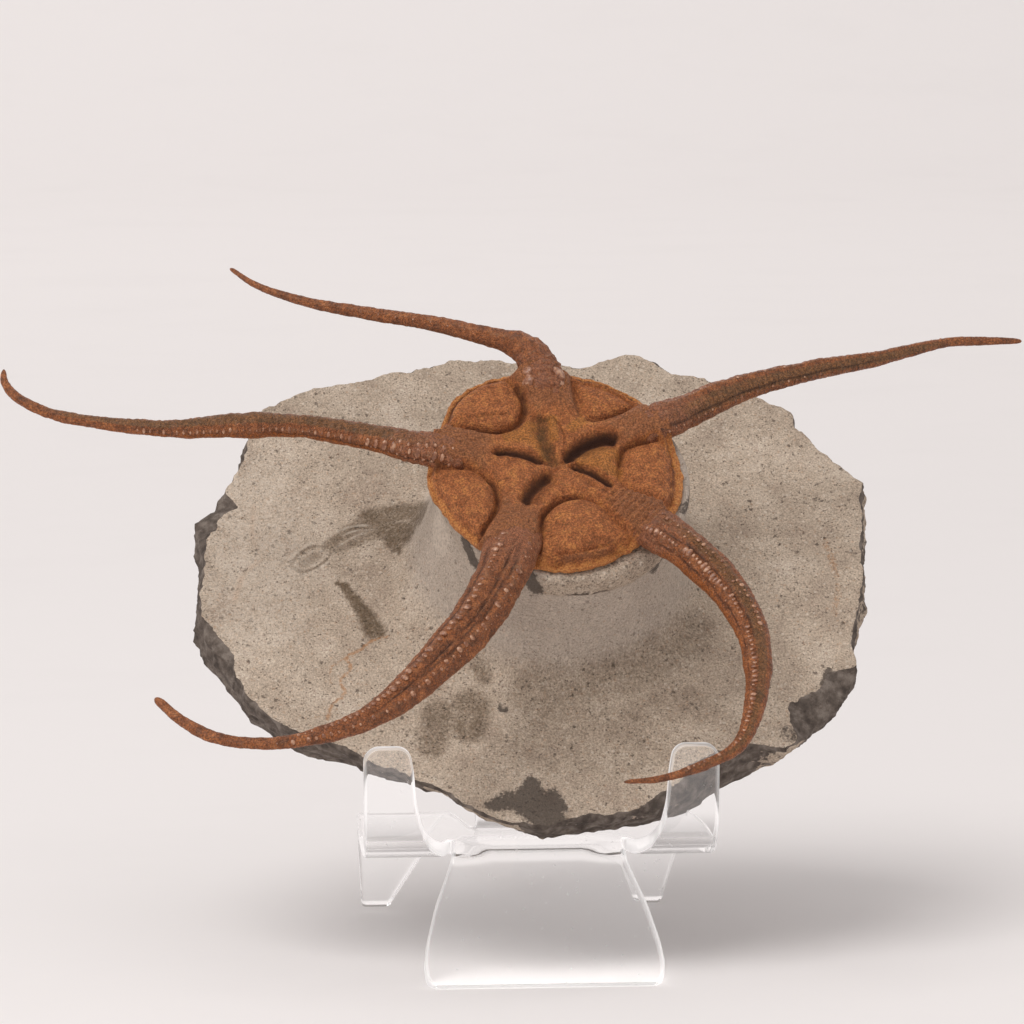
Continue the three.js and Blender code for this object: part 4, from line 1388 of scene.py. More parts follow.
@dataclass(frozen=True)
class Arm:
    """One arm: its middle line (x, y, z and full width) from inside the disc to the tip."""

    name: str
    line: tuple
    thickness: float
    furrows: tuple = ()
    rows: tuple = ()
    olive: tuple[float, float] = (0.0, 0.0)
    orange: tuple[float, float] = (0.0, 0.0)
    crust: float = 0.12
    ribs: float = 0.04
    seamed: float = 0.3
    sides: int = 56
    steps: int = 380
    tip_from: float = 0.985

    def _stations(self, shares: Array) -> tuple[Array, ...]:
        """Reads the middle line.

        Args:
            shares: How far along it, 0 to 1.

        Returns:
            Its points, the directions across and outward, the half widths and the lengths so far.
        """
        fine = spline(self.line, 40)
        lengths = np.concatenate([[0], np.cumsum(np.linalg.norm(np.diff(fine[:, :3], axis=0), axis=1))])
        at = shares * lengths[-1]
        centre = np.stack([np.interp(at, lengths, fine[:, axis]) for axis in range(3)], 1)
        ahead = np.gradient(fine[:, :3], axis=0)
        tangent = np.stack([np.interp(at, lengths, ahead[:, axis]) for axis in range(3)], 1)
        tangent /= np.linalg.norm(tangent, axis=1)[:, None]
        across = np.cross(tangent, [0.0, 0.0, 1.0])
        across /= np.linalg.norm(across, axis=1)[:, None]
        outward = np.cross(across, tangent)
        half_width = np.interp(at, lengths, fine[:, 3]) / 2
        return centre, across, outward, half_width, at

    def _relief(self, share: Array, degrees: Array, solid: Array, half: Array) -> tuple[Array, ...]:
        """How far the surface stands out from the plain oval.

        Args:
            share: How far along the arm, 0 to 1.
            degrees: The angle round it.
            solid: The places on the plain oval.
            half: The arm's half width there.

        Returns:
            Heights, the painted shade in the furrows, the ridges' paler colour with painted highlight, and
            how near the root each place is.
        """
        root = fall(share, 0.06, 0.24)
        height = (0.05 + self.crust * root) * roughness(solid, 1.0, 3, 30)
        height += 0.10 * np.minimum(half, 2.0) * roughness(solid, 3.6, 3, 31)
        height += 0.05 * np.minimum(half, 1.5) * roughness(solid, 0.55, 3, 32)
        hollow_shade = np.zeros(len(share))
        pale = np.zeros(len(share))
        for furrow in self.furrows:
            progress = np.clip((share - furrow.start) / (furrow.end - furrow.start), 0, 1)
            middle = furrow.around[0] + (furrow.around[1] - furrow.around[0]) * progress
            middle = middle + 2.5 * np.sin(share * 57.0 + furrow.around[0])
            turn = (degrees - middle + 180) % 360 - 180
            shown = rise(share, furrow.start - 0.03, furrow.start + 0.03)
            shown *= fall(share, furrow.end - 0.12, furrow.end)
            profile = hump(turn, furrow.half_width) * shown
            height += furrow.raise_by * half * profile
            # Painted shade in the furrows; paler colour and painted highlight on the ridges.
            if furrow.raise_by < 0:
                hollow_shade = np.maximum(hollow_shade, 0.8 * hump(turn, 0.62 * furrow.half_width) * shown)
            else:
                pale = np.maximum(pale, 0.6 * profile)
        return height, hollow_shade, pale, root

    def surface(self, shares: Array, degrees: Array) -> tuple[Array, Array, dict]:
        """Points of the arm's surface.

        Args:
            shares: How far along the arm each point is, 0 to 1.
            degrees: The angle round it.

        Returns:
            The points, the directions that the surface faces, and masks by name.
        """
        centre, across, outward, half, at = self._stations(shares)
        turn = np.radians(degrees)[:, None]
        facing = across * np.cos(turn) + outward * np.sin(turn) / self.thickness
        facing /= np.linalg.norm(facing, axis=1)[:, None]
        blunt = np.sqrt(np.clip(1 - ((shares - self.tip_from) / 0.0151) ** 2, 0, 1))
        half = half * np.where(shares > self.tip_from, blunt, 1.0)
        oval = across * np.cos(turn) + outward * np.sin(turn) * self.thickness
        solid = centre + oval * half[:, None]
        height, hollow_shade, pale, root = self._relief(shares, degrees, solid, half)
        under = rise(np.sin(turn[:, 0]), -0.5, 0.0)
        ribs = np.sin(2 * math.pi * at / 1.15 + 0.6 * np.cos(turn[:, 0]))
        height += self.ribs * ribs * under * fall(shares, 0.55, 0.9)
        height *= np.minimum(half / 0.5, 1.0)
        around = degrees % 360
        masks = {
            "hollow_shade": hollow_shade, "pale": pale, "along": at,
            "seamed": self.seamed * under * fall(shares, 0.75, 0.95),
            "olive": self._side(around, self.olive) * fall(shares, 0.7, 0.95),
            "crust": root,
            "orange": self._side(around, self.orange),
        }
        return solid + facing * height[:, None], facing, masks

    @staticmethod
    def _side(around: Array, limits: tuple[float, float]) -> Array:
        """1 on the part of the arm's girth between two angles, with soft edges."""
        middle, reach = (limits[0] + limits[1]) / 2, (limits[1] - limits[0]) / 2
        if reach <= 0:
            return np.zeros(len(around))
        away = np.abs((around - middle + 180) % 360 - 180)
        return fall(away, reach - 12, reach + 12)

    def build(self, material: Material) -> Object:
        """Builds the arm.

        Args:
            material: Its finish.

        Returns:
            The finished piece.
        """
        tip = self.tip_from + 0.0149 * np.array([0.4, 0.7, 0.9, 1.0])
        stations = np.concatenate([np.linspace(0, self.tip_from, self.steps), tip])
        turns = np.linspace(0.0, 360.0, self.sides, endpoint=False)
        shares = np.repeat(stations, self.sides)
        degrees = np.tile(turns, len(stations))
        places, _, masks = self.surface(shares, degrees)
        rings = places.reshape(len(stations), self.sides, 3)[::-1]
        grids = {name: values.reshape(len(stations), self.sides)[::-1] for name, values in masks.items()}
        return dress(closed_rings("fossil_" + self.name, rings, grids), material, "fossil_arm", self.name)


ARMS = (
    Arm(
        "arm_top",
        ((-1.2, 12.4, 20.6, 5.4), (-1.5, 14.6, 21.9, 6.9), (-1.8, 16.8, 22.45, 6.7),
         (-2.2, 19.3, 22.5, 5.7), (-3.6, 22.2, 22.7, 5),
         (-6.8, 24, 22.9, 3.8), (-11.7, 25.7, 22.9, 2.8), (-17.5, 28, 22.5, 2.4), (-26.2, 30.8, 21.5, 2.1),
         (-35, 34.4, 20, 1.6), (-42.3, 38.8, 18.8, 1.1), (-46.5, 43.2, 18, 0.7)),
        0.86, crust=0.42, ribs=0.02, seamed=0.1,
        furrows=(Furrow((100, 120), 22, 0.05, 0.2, 0.9),),
        rows=(
            Row((140, 136), 0.055, 0.09, 1, 1.7, 1.2), Row((48, 52), 0.05, 0.08, 1, 1.5, 1.2),
            Row((118, 130), 0.3, 0.7, 2.6, 0.35, 1.2),
        ),
    ),
    Arm(
        "arm_left",
        ((-12.8, 2.8, 20.7, 5.2), (-15.1, 3, 21.9, 6.2), (-17.5, 3.3, 22.45, 6),
         (-21.5, 4, 22.5, 5), (-27.2, 5.8, 22.5, 4.3),
         (-37.4, 8.1, 22.6, 3.6), (-46.1, 8.1, 22.9, 3.9), (-56.2, 7.7, 22.7, 2.8), (-64.9, 9.2, 22.1, 2.1),
         (-72.9, 11.4, 21.7, 1.8), (-78, 14.8, 21.3, 1.5), (-80.1, 18.1, 21.1, 1.2), (-80.3, 20.9, 21, 0.7)),
        0.8, crust=0.18, ribs=0.03, seamed=0.15, olive=(50, 118), orange=(168, 262),
        furrows=(Furrow((144, 150), 16, 0.06, 0.05, 0.62), Furrow((170, 172), 10, -0.05, 0.02, 0.45)),
        rows=(
            Row((142, 146), 0.05, 0.26, 1.3, 0.8, 1.9), Row((146, 151), 0.26, 0.66, 0.95, 0.5, 1.7),
            Row((112, 116), 0.05, 0.18, 1.5, 0.6, 1.4), Row((166, 170), 0.05, 0.2, 1.4, 0.6, 1.4),
        ),
    ),
    Arm(
        "arm_lower_left",
        ((-6.2, -10.6, 20.7, 6), (-7.2, -12.9, 21.9, 7.7), (-8.3, -15.6, 22.45, 7.9),
         (-10.2, -20.7, 22.7, 7.4), (-14.2, -28.8, 23.1, 6.9),
         (-19.7, -36.2, 23.5, 6.3), (-26.1, -43.3, 23.5, 4.6), (-33.2, -47.9, 23.3, 3.2),
         (-42.3, -50, 22.7, 2.1), (-50.5, -48.9, 22.1, 1.9), (-55.8, -45.2, 21.5, 1.7),
         (-59.7, -40.5, 21, 1.2)),
        0.66, crust=0.14, ribs=0.02, seamed=0.1, orange=(195, 340),
        furrows=(
            Furrow((96, 99), 8, -0.13, 0.09, 0.62), Furrow((66, 70), 17, 0.10, 0.08, 0.62),
            Furrow((130, 126), 17, 0.10, 0.08, 0.64), Furrow((42, 46), 12, -0.03, 0.1, 0.5),
            Furrow((113, 112), 10, -0.05, 0.09, 0.5), Furrow((104, 105), 4, 0.06, 0.12, 0.5),
        ),
        rows=(
            Row((128, 126), 0.07, 0.5, 1.5, 0.85, 1.1), Row((126, 124), 0.5, 0.74, 1.1, 0.6, 1.2),
            Row((66, 68), 0.07, 0.5, 1.25, 1, 1.25), Row((68, 70), 0.5, 0.7, 1, 0.7, 1.3),
            Row((141, 141), 0.08, 0.4, 1.6, 0.4, 1), Row((56, 58), 0.08, 0.42, 1.5, 0.45, 1),
        ),
    ),
    Arm(
        "arm_lower_right",
        ((9.6, -8.2, 20.7, 5.6), (11.2, -10.2, 21.9, 6.8), (13.3, -12.4, 22.45, 6.9),
         (17, -16.1, 22.7, 6.2), (21.5, -22.4, 22.9, 5.9),
         (24.5, -29.7, 23, 5), (25.3, -36.8, 23, 4.1), (24.3, -44.1, 22.9, 3.1), (21.6, -51.2, 22.6, 2.1),
         (16.3, -54.6, 22.3, 1.6), (10.2, -56.5, 21.8, 1.1), (4.9, -56.8, 21.5, 0.6)),
        0.7, crust=0.14, ribs=0.03, seamed=0.12, olive=(84, 128), orange=(-62, 22),
        furrows=(
            Furrow((72, 84), 8, -0.08, 0.08, 0.5), Furrow((52, 62), 15, 0.10, 0.07, 0.78),
            Furrow((108, 120), 13, 0.06, 0.07, 0.46), Furrow((81, 92), 4, 0.08, 0.08, 0.45),
            Furrow((93, 103), 4, 0.07, 0.08, 0.4), Furrow((30, 42), 9, -0.03, 0.08, 0.6),
        ),
        rows=(
            Row((54, 62), 0.07, 0.24, 1, 0.85, 1.4), Row((60, 66), 0.24, 0.4, 0.95, 0.8, 1.5),
            Row((66, 70), 0.42, 0.62, 0.85, 0.62, 1.6), Row((70, 74), 0.62, 0.86, 0.8, 0.5, 1.6),
            Row((106, 118), 0.07, 0.44, 1.05, 0.65, 1.3), Row((88, 98), 0.1, 0.34, 1.2, 0.4, 1.2),
            Row((40, 48), 0.12, 0.5, 1.5, 0.4, 1.2),
        ),
    ),
    Arm(
        "arm_right",
        ((10.8, 6.8, 20.7, 5), (12.9, 7.7, 21.9, 6.1), (15.4, 8.7, 22.45, 6),
         (18.3, 9.9, 22.6, 5.4), (24.4, 13.1, 22.8, 4.7),
         (30.5, 15.6, 22.9, 3.8), (39.7, 18.4, 22.6, 3.1), (48.9, 21.1, 21.8, 2.4), (58.3, 24.8, 20.7, 1.6),
         (64.5, 25.9, 19.9, 1.4), (70.7, 26.6, 19, 0.8)),
        0.82, crust=0.16, ribs=0.02, seamed=0.35, olive=(20, 88),
        furrows=(Furrow((112, 108), 16, 0.07, 0.05, 0.8), Furrow((36, 40), 14, -0.06, 0.05, 0.7)),
        rows=(Row((116, 112), 0.08, 0.8, 1.5, 0.42, 1.4), Row((20, 26), 0.06, 0.5, 1.3, 0.4, 1.3)),
    ),
)


class Tubercles:
    """Rows of small raised plates along the arms, grown by one node tree."""

    line_points = 90

    def __init__(self, material: Material) -> None:
        """Builds the tree, for plates of one finish."""
        self.material = material
        self.tree = self._build_tree()

    @staticmethod
    def _build_tree() -> NodeTree:
        """Plates along a line: each faces as the line's point does and lies across the line."""
        takes = {
            Socket.GEOMETRY: ("Geometry",), Socket.NUMBER: ("Spacing", "Size", "Stretch"),
            Socket.WHOLE: ("Seed",), Socket.MATERIAL: ("Material",),
        }
        gives = ("Geometry", Socket.GEOMETRY)
        graph, given, result = new_group("PlateRow", "GeometryNodeTree", takes, gives)
        curve = graph.node("GeometryNodeMeshToCurve", {"Mesh": given["Geometry"]})
        inputs = {"Curve": curve.outputs[0], "Length": given["Spacing"]}
        spaced = graph.node("GeometryNodeResampleCurve", inputs, mode="LENGTH")
        inputs = {"Name": "facing"}
        facing = graph.node("GeometryNodeInputNamedAttribute", inputs, data_type="FLOAT_VECTOR").outputs[0]
        upright = graph.node("FunctionNodeAlignRotationToVector", {"Vector": facing}, axis="Z").outputs[0]
        inputs = {"Rotation": upright, "Vector": graph.node("GeometryNodeInputTangent").outputs[0]}
        turned = graph.node("FunctionNodeAlignRotationToVector", inputs, axis="X", pivot_axis="Z").outputs[0]
        plate = graph.node("GeometryNodeMeshUVSphere", {"Segments": 9, "Rings": 6, "Radius": 0.5})
        long_side = graph.node("FunctionNodeRandomValue", {2: 0.4, 3: 1.15, "Seed": given["Seed"]})
        inputs = {"Probability": 0.88, "Seed": given["Seed"]}
        keep = graph.node("FunctionNodeRandomValue", inputs, data_type="BOOLEAN")
        size = graph.times(given["Size"], long_side.outputs[1])
        wide = graph.times(size, given["Stretch"])
        flat = graph.times(size, 0.5)
        scale = graph.node("ShaderNodeCombineXYZ", {0: size, 1: wide, 2: flat}).outputs[0]
        inputs = {
            "Points": spaced.outputs[0], "Instance": plate.outputs[0], "Selection": keep.outputs[3],
            "Rotation": turned, "Scale": scale,
        }
        placed = graph.node("GeometryNodeInstanceOnPoints", inputs)
        real = graph.node("GeometryNodeRealizeInstances", {0: placed.outputs[0]})
        smooth = graph.node("GeometryNodeSetShadeSmooth", {0: real.outputs[0]})
        inputs = {"Geometry": smooth.outputs[0], "Material": given["Material"]}
        finished = graph.node("GeometryNodeSetMaterial", inputs)
        graph.link(finished.outputs[0], result)
        return graph.tree

    def _line(self, arm: Arm, row: Row, seed: int) -> Object:
        """Lays the line that a row follows on the arm's surface.

        Args:
            arm: The arm.
            row: The row.
            seed: What makes its waver differ from the other rows'.

        Returns:
            The line, whose points carry the way that the surface faces.
        """
        count = self.line_points
        shares = np.linspace(row.start, row.end, count)
        degrees = np.linspace(*row.around, count) + 3.0 * np.sin(np.arange(count) * 0.9 + seed)
        places, facing, _ = arm.surface(shares, degrees)
        mesh = bpy.data.meshes.new("row")
        mesh.from_pydata(SLAB.to_row(places).tolist(), [(k, k + 1) for k in range(count - 1)], [])
        turned = (facing @ SLAB.turn).astype(np.float32)
        mesh.attributes.new("facing", "FLOAT_VECTOR", "POINT").data.foreach_set("vector", turned.reshape(-1))
        return add_object("row", mesh)

    def build(self, arms: tuple[Arm, ...]) -> Object:
        """Grows every row.

        Args:
            arms: The arms that carry them.

        Returns:
            One piece that holds them all.
        """
        joined = bmesh.new()
        for seed, (arm, row) in enumerate((arm, row) for arm in arms for row in arm.rows):
            line = self._line(arm, row, seed)
            values = {
                "Spacing": row.spacing * MM, "Size": row.size * MM, "Stretch": row.stretch,
                "Seed": seed, "Material": self.material,
            }
            grown = grow(line, self.tree, values)
            joined.from_mesh(grown)
            bpy.data.meshes.remove(grown)
        mesh = bpy.data.meshes.new("arm_plates")
        joined.to_mesh(mesh)
        joined.free()
        mesh.shade_smooth()
        return dress(add_object("arm_plates", mesh), self.material, "fossil_arm")


def grow(carrier: Object, tree: NodeTree, values: dict) -> Mesh:
    """Runs a node tree on an object and removes the object.

    Args:
        carrier: The object that the tree works on.
        tree: The tree.
        values: For each input's name, its value.

    Returns:
        What it grows, as a plain mesh.
    """
    modifier = carrier.modifiers.new("grow", "NODES")
    modifier.node_group = tree
    for item in tree.interface.items_tree:
        if item.in_out == "INPUT" and item.name in values:
            modifier[item.identifier] = values[item.name]
    evaluated = carrier.evaluated_get(bpy.context.evaluated_depsgraph_get())
    grown = bpy.data.meshes.new_from_object(evaluated)
    carrier.modifiers.remove(modifier)
    bpy.data.objects.remove(carrier)
    return grown


# ---- the easel ----


class BentRoute:
    """The side view of a bent strip: straight runs and round bends, read by distance."""

    def __init__(self, corners: Points, level_at: float) -> None:
        """Lays the route.

        Args:
            corners: Its corners as (y, z, bend radius), the ends with radius 0.
            level_at: The y of a point on the level ledge, where the distance is made equal to y.
        """
        self.pieces = []
        points = np.asarray([corner[:2] for corner in corners], float)
        here, distance = points[0], 0.0
        for index in range(1, len(points)):
            step = points[index] - points[index - 1]
            heading = math.atan2(step[1], step[0])
            radius = corners[index][2]
            turn = 0.0
            if radius:
                after = points[index + 1] - points[index]
                turn = (math.atan2(after[1], after[0]) - heading + math.pi) % (2 * math.pi) - math.pi
            forward = np.array([math.cos(heading), math.sin(heading)])
            end = points[index] - forward * radius * abs(math.tan(turn / 2))
            self.pieces.append((distance, here, heading, 0.0))
            distance += float(np.linalg.norm(end - here))
            if radius:
                bend = math.copysign(1.0 / radius, turn)
                self.pieces.append((distance, end, heading, bend))
                distance += abs(turn) * radius
                side = np.array([-forward[1], forward[0]])
                middle = end + side / bend
                spun = np.array([[math.cos(turn), -math.sin(turn)], [math.sin(turn), math.cos(turn)]])
                end = middle + spun @ (end - middle)
            here = end
        self.shift = 0.0
        probe = np.linspace(0, distance, 4000)
        places, _ = self.at(probe)
        level = np.abs(places[:, 0] - level_at) + 10 * np.abs(places[:, 1] - points[-2][1])
        best = int(np.argmin(level))
        self.shift = float(probe[best] - places[best, 0])

    def at(self, flat: Array) -> tuple[Array, Array]:
        """Reads the route.

        Args:
            flat: Distances along the flat sheet.

        Returns:
            The points there, as y and z, and the headings.
        """
        distance = flat + self.shift
        places = np.zeros((len(flat), 2))
        headings = np.zeros(len(flat))
        for start, origin, heading, bend in self.pieces:
            past = distance >= start if start > 0 else np.ones(len(flat), bool)
            gone = distance[past] - start
            if bend:
                angle = heading + gone * bend
                places[past, 0] = origin[0] + (np.sin(angle) - math.sin(heading)) / bend
                places[past, 1] = origin[1] - (np.cos(angle) - math.cos(heading)) / bend
                headings[past] = angle
            else:
                places[past] = origin + gone[:, None] * [math.cos(heading), math.sin(heading)]
                headings[past] = heading
        return places, headings


@dataclass
class EaselStand:
    """The clear easel: one sheet, slit, and bent into hooks, ledge, back rest, foot and two legs."""

    sheet: float = 2.2
    rounding: float = 0.6
    platform_top: float = 19.0
    mouth_off_centre: float = 4.4
    mouth_above_foot: float = 43.0
    slab_rest_y: float = -16.5
    clearance: float = 0.3
    ground_gap: float = 0.05
    # How far the foot and the legs reach outward on their way down, and how steep the back rest is.
    foot_run: float = 14.5
    leg_run: float = 23.0
    rest_angle: float = math.radians(53.0)
    # The y that the slits reach from the front and from the back.
    front_end: float = -16.45
    back_end: float = -5.65
    # In front of this y, whole sides of the sheet are sawn rough.
    rough_sides: float = -12.0
    # Half of the flat sheet: x, y and corner radius, from the foot's middle to the back rest's.
    pattern: Points = (
        (15.6, -39.6, 0.8), (17, -37.4, 2.2), (17.2, -35.2, 4), (16.8, -32.1, 12), (15.3, -26.1, 20),
        (13.2, -20.3, 10), (12.3, -17.6, 1.5), (12.6, -16.5, 0.35), (13.1, -17.8, 1.5), (14, -20, 4),
        (15.7, -22.4, 5), (17.1, -25.2, 6), (17.9, -28.5, 12), (18.3, -33.2, 6), (18.9, -36.84, 2.1),
        (25.5, -36.84, 2.3), (25.3, -8, 60), (24.6, 8.2, 30), (22.8, 34.2, 0.8), (18.5, 34.2, 0.8),
        (14.3, 18.2, 30),
        (9.8, 4.2, 20), (8.7, -4.2, 3), (8.35, -5.6, 0.25), (7.9, -4, 2), (7.9, 0.2, 12),
        (15.8, 41.7, 2.6),
    )
    # The middle of the slits: its x by y, in front of the ledge and behind it.
    front_slit: Table = (
        (-45, 18.1), (-37, 18), (-34, 17.6), (-28, 16.8), (-25, 15.9), (-22, 14.6), (-20, 13.6),
        (-17.6, 12.7), (-16.4, 12.6),
    )
    back_slit: Table = (
        (-5.7, 8.35), (0, 8.6), (4.2, 9.25), (18.2, 12.7), (34, 16.4), (50, 18),
    )

    @property
    def middle(self) -> float:
        """The height of the middle of the ledge's sheet."""
        return self.platform_top - self.sheet / 2

    @property
    def origin(self) -> Array:
        """The ground under the easel's middle, in the row frame, in millimetres."""
        cos, sin = math.cos(SLAB.lean), math.sin(SLAB.lean)
        up, out = self.mouth_above_foot, MatrixSlab.thickness
        mouth = np.array([
            self.mouth_off_centre,
            self.slab_rest_y + up * cos - out * sin,
            self.platform_top + self.clearance + up * sin + out * cos,
        ])
        return SLAB.origin - mouth

    def _outline(self) -> Array:
        """The whole flat outline, anticlockwise, with its corners rounded."""
        corners = [*self.pattern, *((-x, y, radius) for x, y, radius in reversed(self.pattern))]
        places = np.array([corner[:2] for corner in corners])
        trios = zip(np.roll(places, 1, axis=0), places, np.roll(places, -1, axis=0), corners)
        points = [point for *trio, corner in trios for point in self._rounded(*trio, corner[2])]
        return self._evenly(np.array(points))

    @staticmethod
    def _rounded(before: Array, here: Array, after: Array, radius: float) -> list[Array]:
        """Rounds a corner.

        Args:
            before: The corner before it.
            here: The corner.
            after: The corner after it.
            radius: Its radius, which is made smaller where its sides are too short.

        Returns:
            The points of its arc.
        """
        before, after = before - here, after - here
        reach_before, reach_after = np.linalg.norm(before), np.linalg.norm(after)
        before, after = before / reach_before, after / reach_after
        half_angle = math.acos(float(np.clip(before @ after, -1, 1))) / 2
        reach = min(radius / max(math.tan(half_angle), 1e-6), 0.48 * reach_before, 0.48 * reach_after)
        radius = reach * math.tan(half_angle)
        bisector = before + after
        if np.linalg.norm(bisector) < 1e-6:
            return [here]
        bisector = bisector / np.linalg.norm(bisector)
        centre = here + bisector * radius / max(math.sin(half_angle), 1e-6)
        start, end = here + before * reach - centre, here + after * reach - centre
        first = math.atan2(start[1], start[0])
        swing = (math.atan2(end[1], end[0]) - first + math.pi) % (2 * math.pi) - math.pi
        steps = max(2, int(abs(swing) * max(radius, 0.6) / 0.25), int(abs(swing) / 0.2))
        angles = [first + swing * step / steps for step in range(steps + 1)]
        return [centre + radius * np.array([math.cos(angle), math.sin(angle)]) for angle in angles]

    @staticmethod
    def _evenly(points: Array, longest: float = 1.2) -> Array:
        """Cuts the long sides of a closed outline into shorter ones and drops doubled points.

        Args:
            points: The outline's points.
            longest: The longest side that is left.

        Returns:
            The new points.
        """
        result = []
        for here, there in zip(points, np.roll(points, -1, axis=0)):
            gap = float(np.linalg.norm(there - here))
            if gap < 0.02:
                continue
            cuts = max(1, math.ceil(gap / longest))
            result.extend(here + (there - here) * k / cuts for k in range(cuts))
        return np.array(result)

    def _flat_sheet(self) -> BMesh:
        """The flat sheet with rounded edges. A layer holds the way that each point faces."""
        outline = self._outline()
        ahead = np.roll(outline, -1, axis=0) - outline
        ahead /= np.linalg.norm(ahead, axis=1)[:, None]
        mean = ahead + np.roll(ahead, 1, axis=0)
        mean /= np.linalg.norm(mean, axis=1)[:, None]
        outward = np.stack([mean[:, 1], -mean[:, 0]], 1)
        half, round_by = self.sheet / 2, self.rounding
        angles = np.radians([-90, -70, -50, -30, -10, 10, 30, 50, 70, 90])
        sheet = bmesh.new()
        layer = sheet.verts.layers.float_vector.new("facing")
        sawn = sheet.verts.layers.float.new("sawn")
        rings = []
        for angle in angles:
            inset = round_by * (1 - math.cos(angle))
            level = math.copysign(half - round_by, angle) + round_by * math.sin(angle)
            ring = []
            for point, out in zip(outline, outward):
                place = point - out * inset
                vert = sheet.verts.new((place[0], place[1], level))
                vert[layer] = Vector((out[0] * math.cos(angle), out[1] * math.cos(angle), math.sin(angle)))
                vert[sawn] = math.cos(angle) * (1.0 if place[1] < self.rough_sides else 0.3)
                ring.append(vert)
            rings.append(ring)
        count = len(outline)
        for lower, upper in zip(rings[:-1], rings[1:]):
            for index in range(count):
                after = (index + 1) % count
                sheet.faces.new((lower[index], lower[after], upper[after], upper[index]))
        flat = [vert.co.xy for vert in rings[-1]]
        _, _, corners, sources, _, _ = geometry.delaunay_2d_cdt(flat, [], [list(range(count))], 1, 1e-6)
        for triangle in corners:
            first, second, third = (sources[corner][0] for corner in triangle)
            sheet.faces.new((rings[-1][first], rings[-1][second], rings[-1][third]))
            sheet.faces.new((rings[0][third], rings[0][second], rings[0][first]))
        return sheet

    def _cut_stations(self, sheet: BMesh) -> None:
        """Cuts the sheet across wherever it bends, so that the bends come out round."""
        stations = np.concatenate([
            np.arange(-38.0, -27.0, 2.5), np.linspace(-26.6, -12.6, 30), np.linspace(-11, -6, 4),
            np.linspace(-5.6, -2.6, 9), np.linspace(-1, 6, 4), np.linspace(6.5, 9.5, 9),
            np.arange(12.0, 41.0, 3.0),
        ])
        cuts = [((0, float(station), 0), (0, 1, 0)) for station in stations]
        cuts += [((across, 0, 0), (1, 0, 0)) for across in (-11.8, -9, -6.5, 6.5, 9, 11.8)]
        for place, normal in cuts:
            parts = sheet.verts[:] + sheet.edges[:] + sheet.faces[:]
            bmesh.ops.bisect_plane(sheet, geom=parts, dist=1e-5, plane_co=place, plane_no=normal)

    def _bend(self, flat: Array, facing: Array) -> tuple[Array, Array]:
        """Bends the flat sheet.

        Args:
            flat: Its points.
            facing: The ways that they face.

        Returns:
            The bent points, and the ways that they face.
        """
        foot_slope = self.platform_top / self.foot_run
        high, far = 50 * math.sin(self.rest_angle), 50 * math.cos(self.rest_angle)
        centre = BentRoute((
            (-32.19 - 2 / foot_slope, -5, 0), (-16.5, self.middle, 5.0), (-4, self.middle, 3.0),
            (-4 + far, self.middle + high, 0),
        ), -10)
        leg_slope = self.platform_top / self.leg_run
        side = BentRoute((
            (-23.4, 40.0, 0), (-23.4, self.middle, 5.5), (8, self.middle, 4.0), (31 + 8 / leg_slope, -8, 0),
        ), -10)
        x, y, level = flat.T
        in_front, behind = y < self.front_end, y > self.back_end
        slit = np.where(in_front, read_table(self.front_slit, y), read_table(self.back_slit, y))
        on_side = (in_front | behind) & (np.abs(x) > slit)
        bent = np.zeros_like(flat)
        faced = np.zeros_like(facing)
        for route, chosen in ((centre, ~on_side), (side, on_side)):
            places, headings = route.at(y[chosen])
            if route is centre:
                # Near the slits' ends the sheet stays level with the ledge's sides.
                edge = rise(np.abs(x[chosen]), 6.0, 11.8) * rise(y[chosen], -19.5, -16.6)
                edge = np.where(y[chosen] < -8, edge, 0.0)
                level_places = np.stack([y[chosen], np.full(chosen.sum(), self.middle)], 1)
                places = places * (1 - edge)[:, None] + level_places * edge[:, None]
                headings = headings * (1 - edge)
            cos, sin = np.cos(headings), np.sin(headings)
            up = level[chosen]
            bent[chosen] = np.column_stack([x[chosen], places[:, 0] - sin * up, places[:, 1] + cos * up])
            way = facing[chosen]
            faced[chosen] = np.column_stack([
                way[:, 0], cos * way[:, 1] - sin * way[:, 2], sin * way[:, 1] + cos * way[:, 2],
            ])
        bent[:, 2] = np.maximum(bent[:, 2], self.ground_gap)
        return bent, faced

    def build(self, material: Material) -> Object:
        """Builds the easel.

        Args:
            material: Its finish.

        Returns:
            The finished piece.
        """
        sheet = self._flat_sheet()
        self._cut_stations(sheet)
        bmesh.ops.triangulate(sheet, faces=[face for face in sheet.faces if len(face.verts) > 4])
        layer = sheet.verts.layers.float_vector["facing"]
        flat = np.array([vert.co[:] for vert in sheet.verts])
        facing = np.array([vert[layer][:] for vert in sheet.verts])
        bent, faced = self._bend(flat, facing)
        places = (bent + self.origin) * MM
        for vert, place in zip(sheet.verts, places):
            vert.co = place
        mesh = bpy.data.meshes.new("easel")
        sheet.to_mesh(mesh)
        sheet.free()
        mesh.shade_smooth()
        faced /= np.maximum(np.linalg.norm(faced, axis=1)[:, None], 1e-9)
        mesh.normals_split_custom_set_from_vertices(faced.tolist())
        mesh.attributes.remove(mesh.attributes["facing"])
        return dress(add_object("clear_easel", mesh), material, "clear_plastic", "easel_stand")


# ---- the studio ----


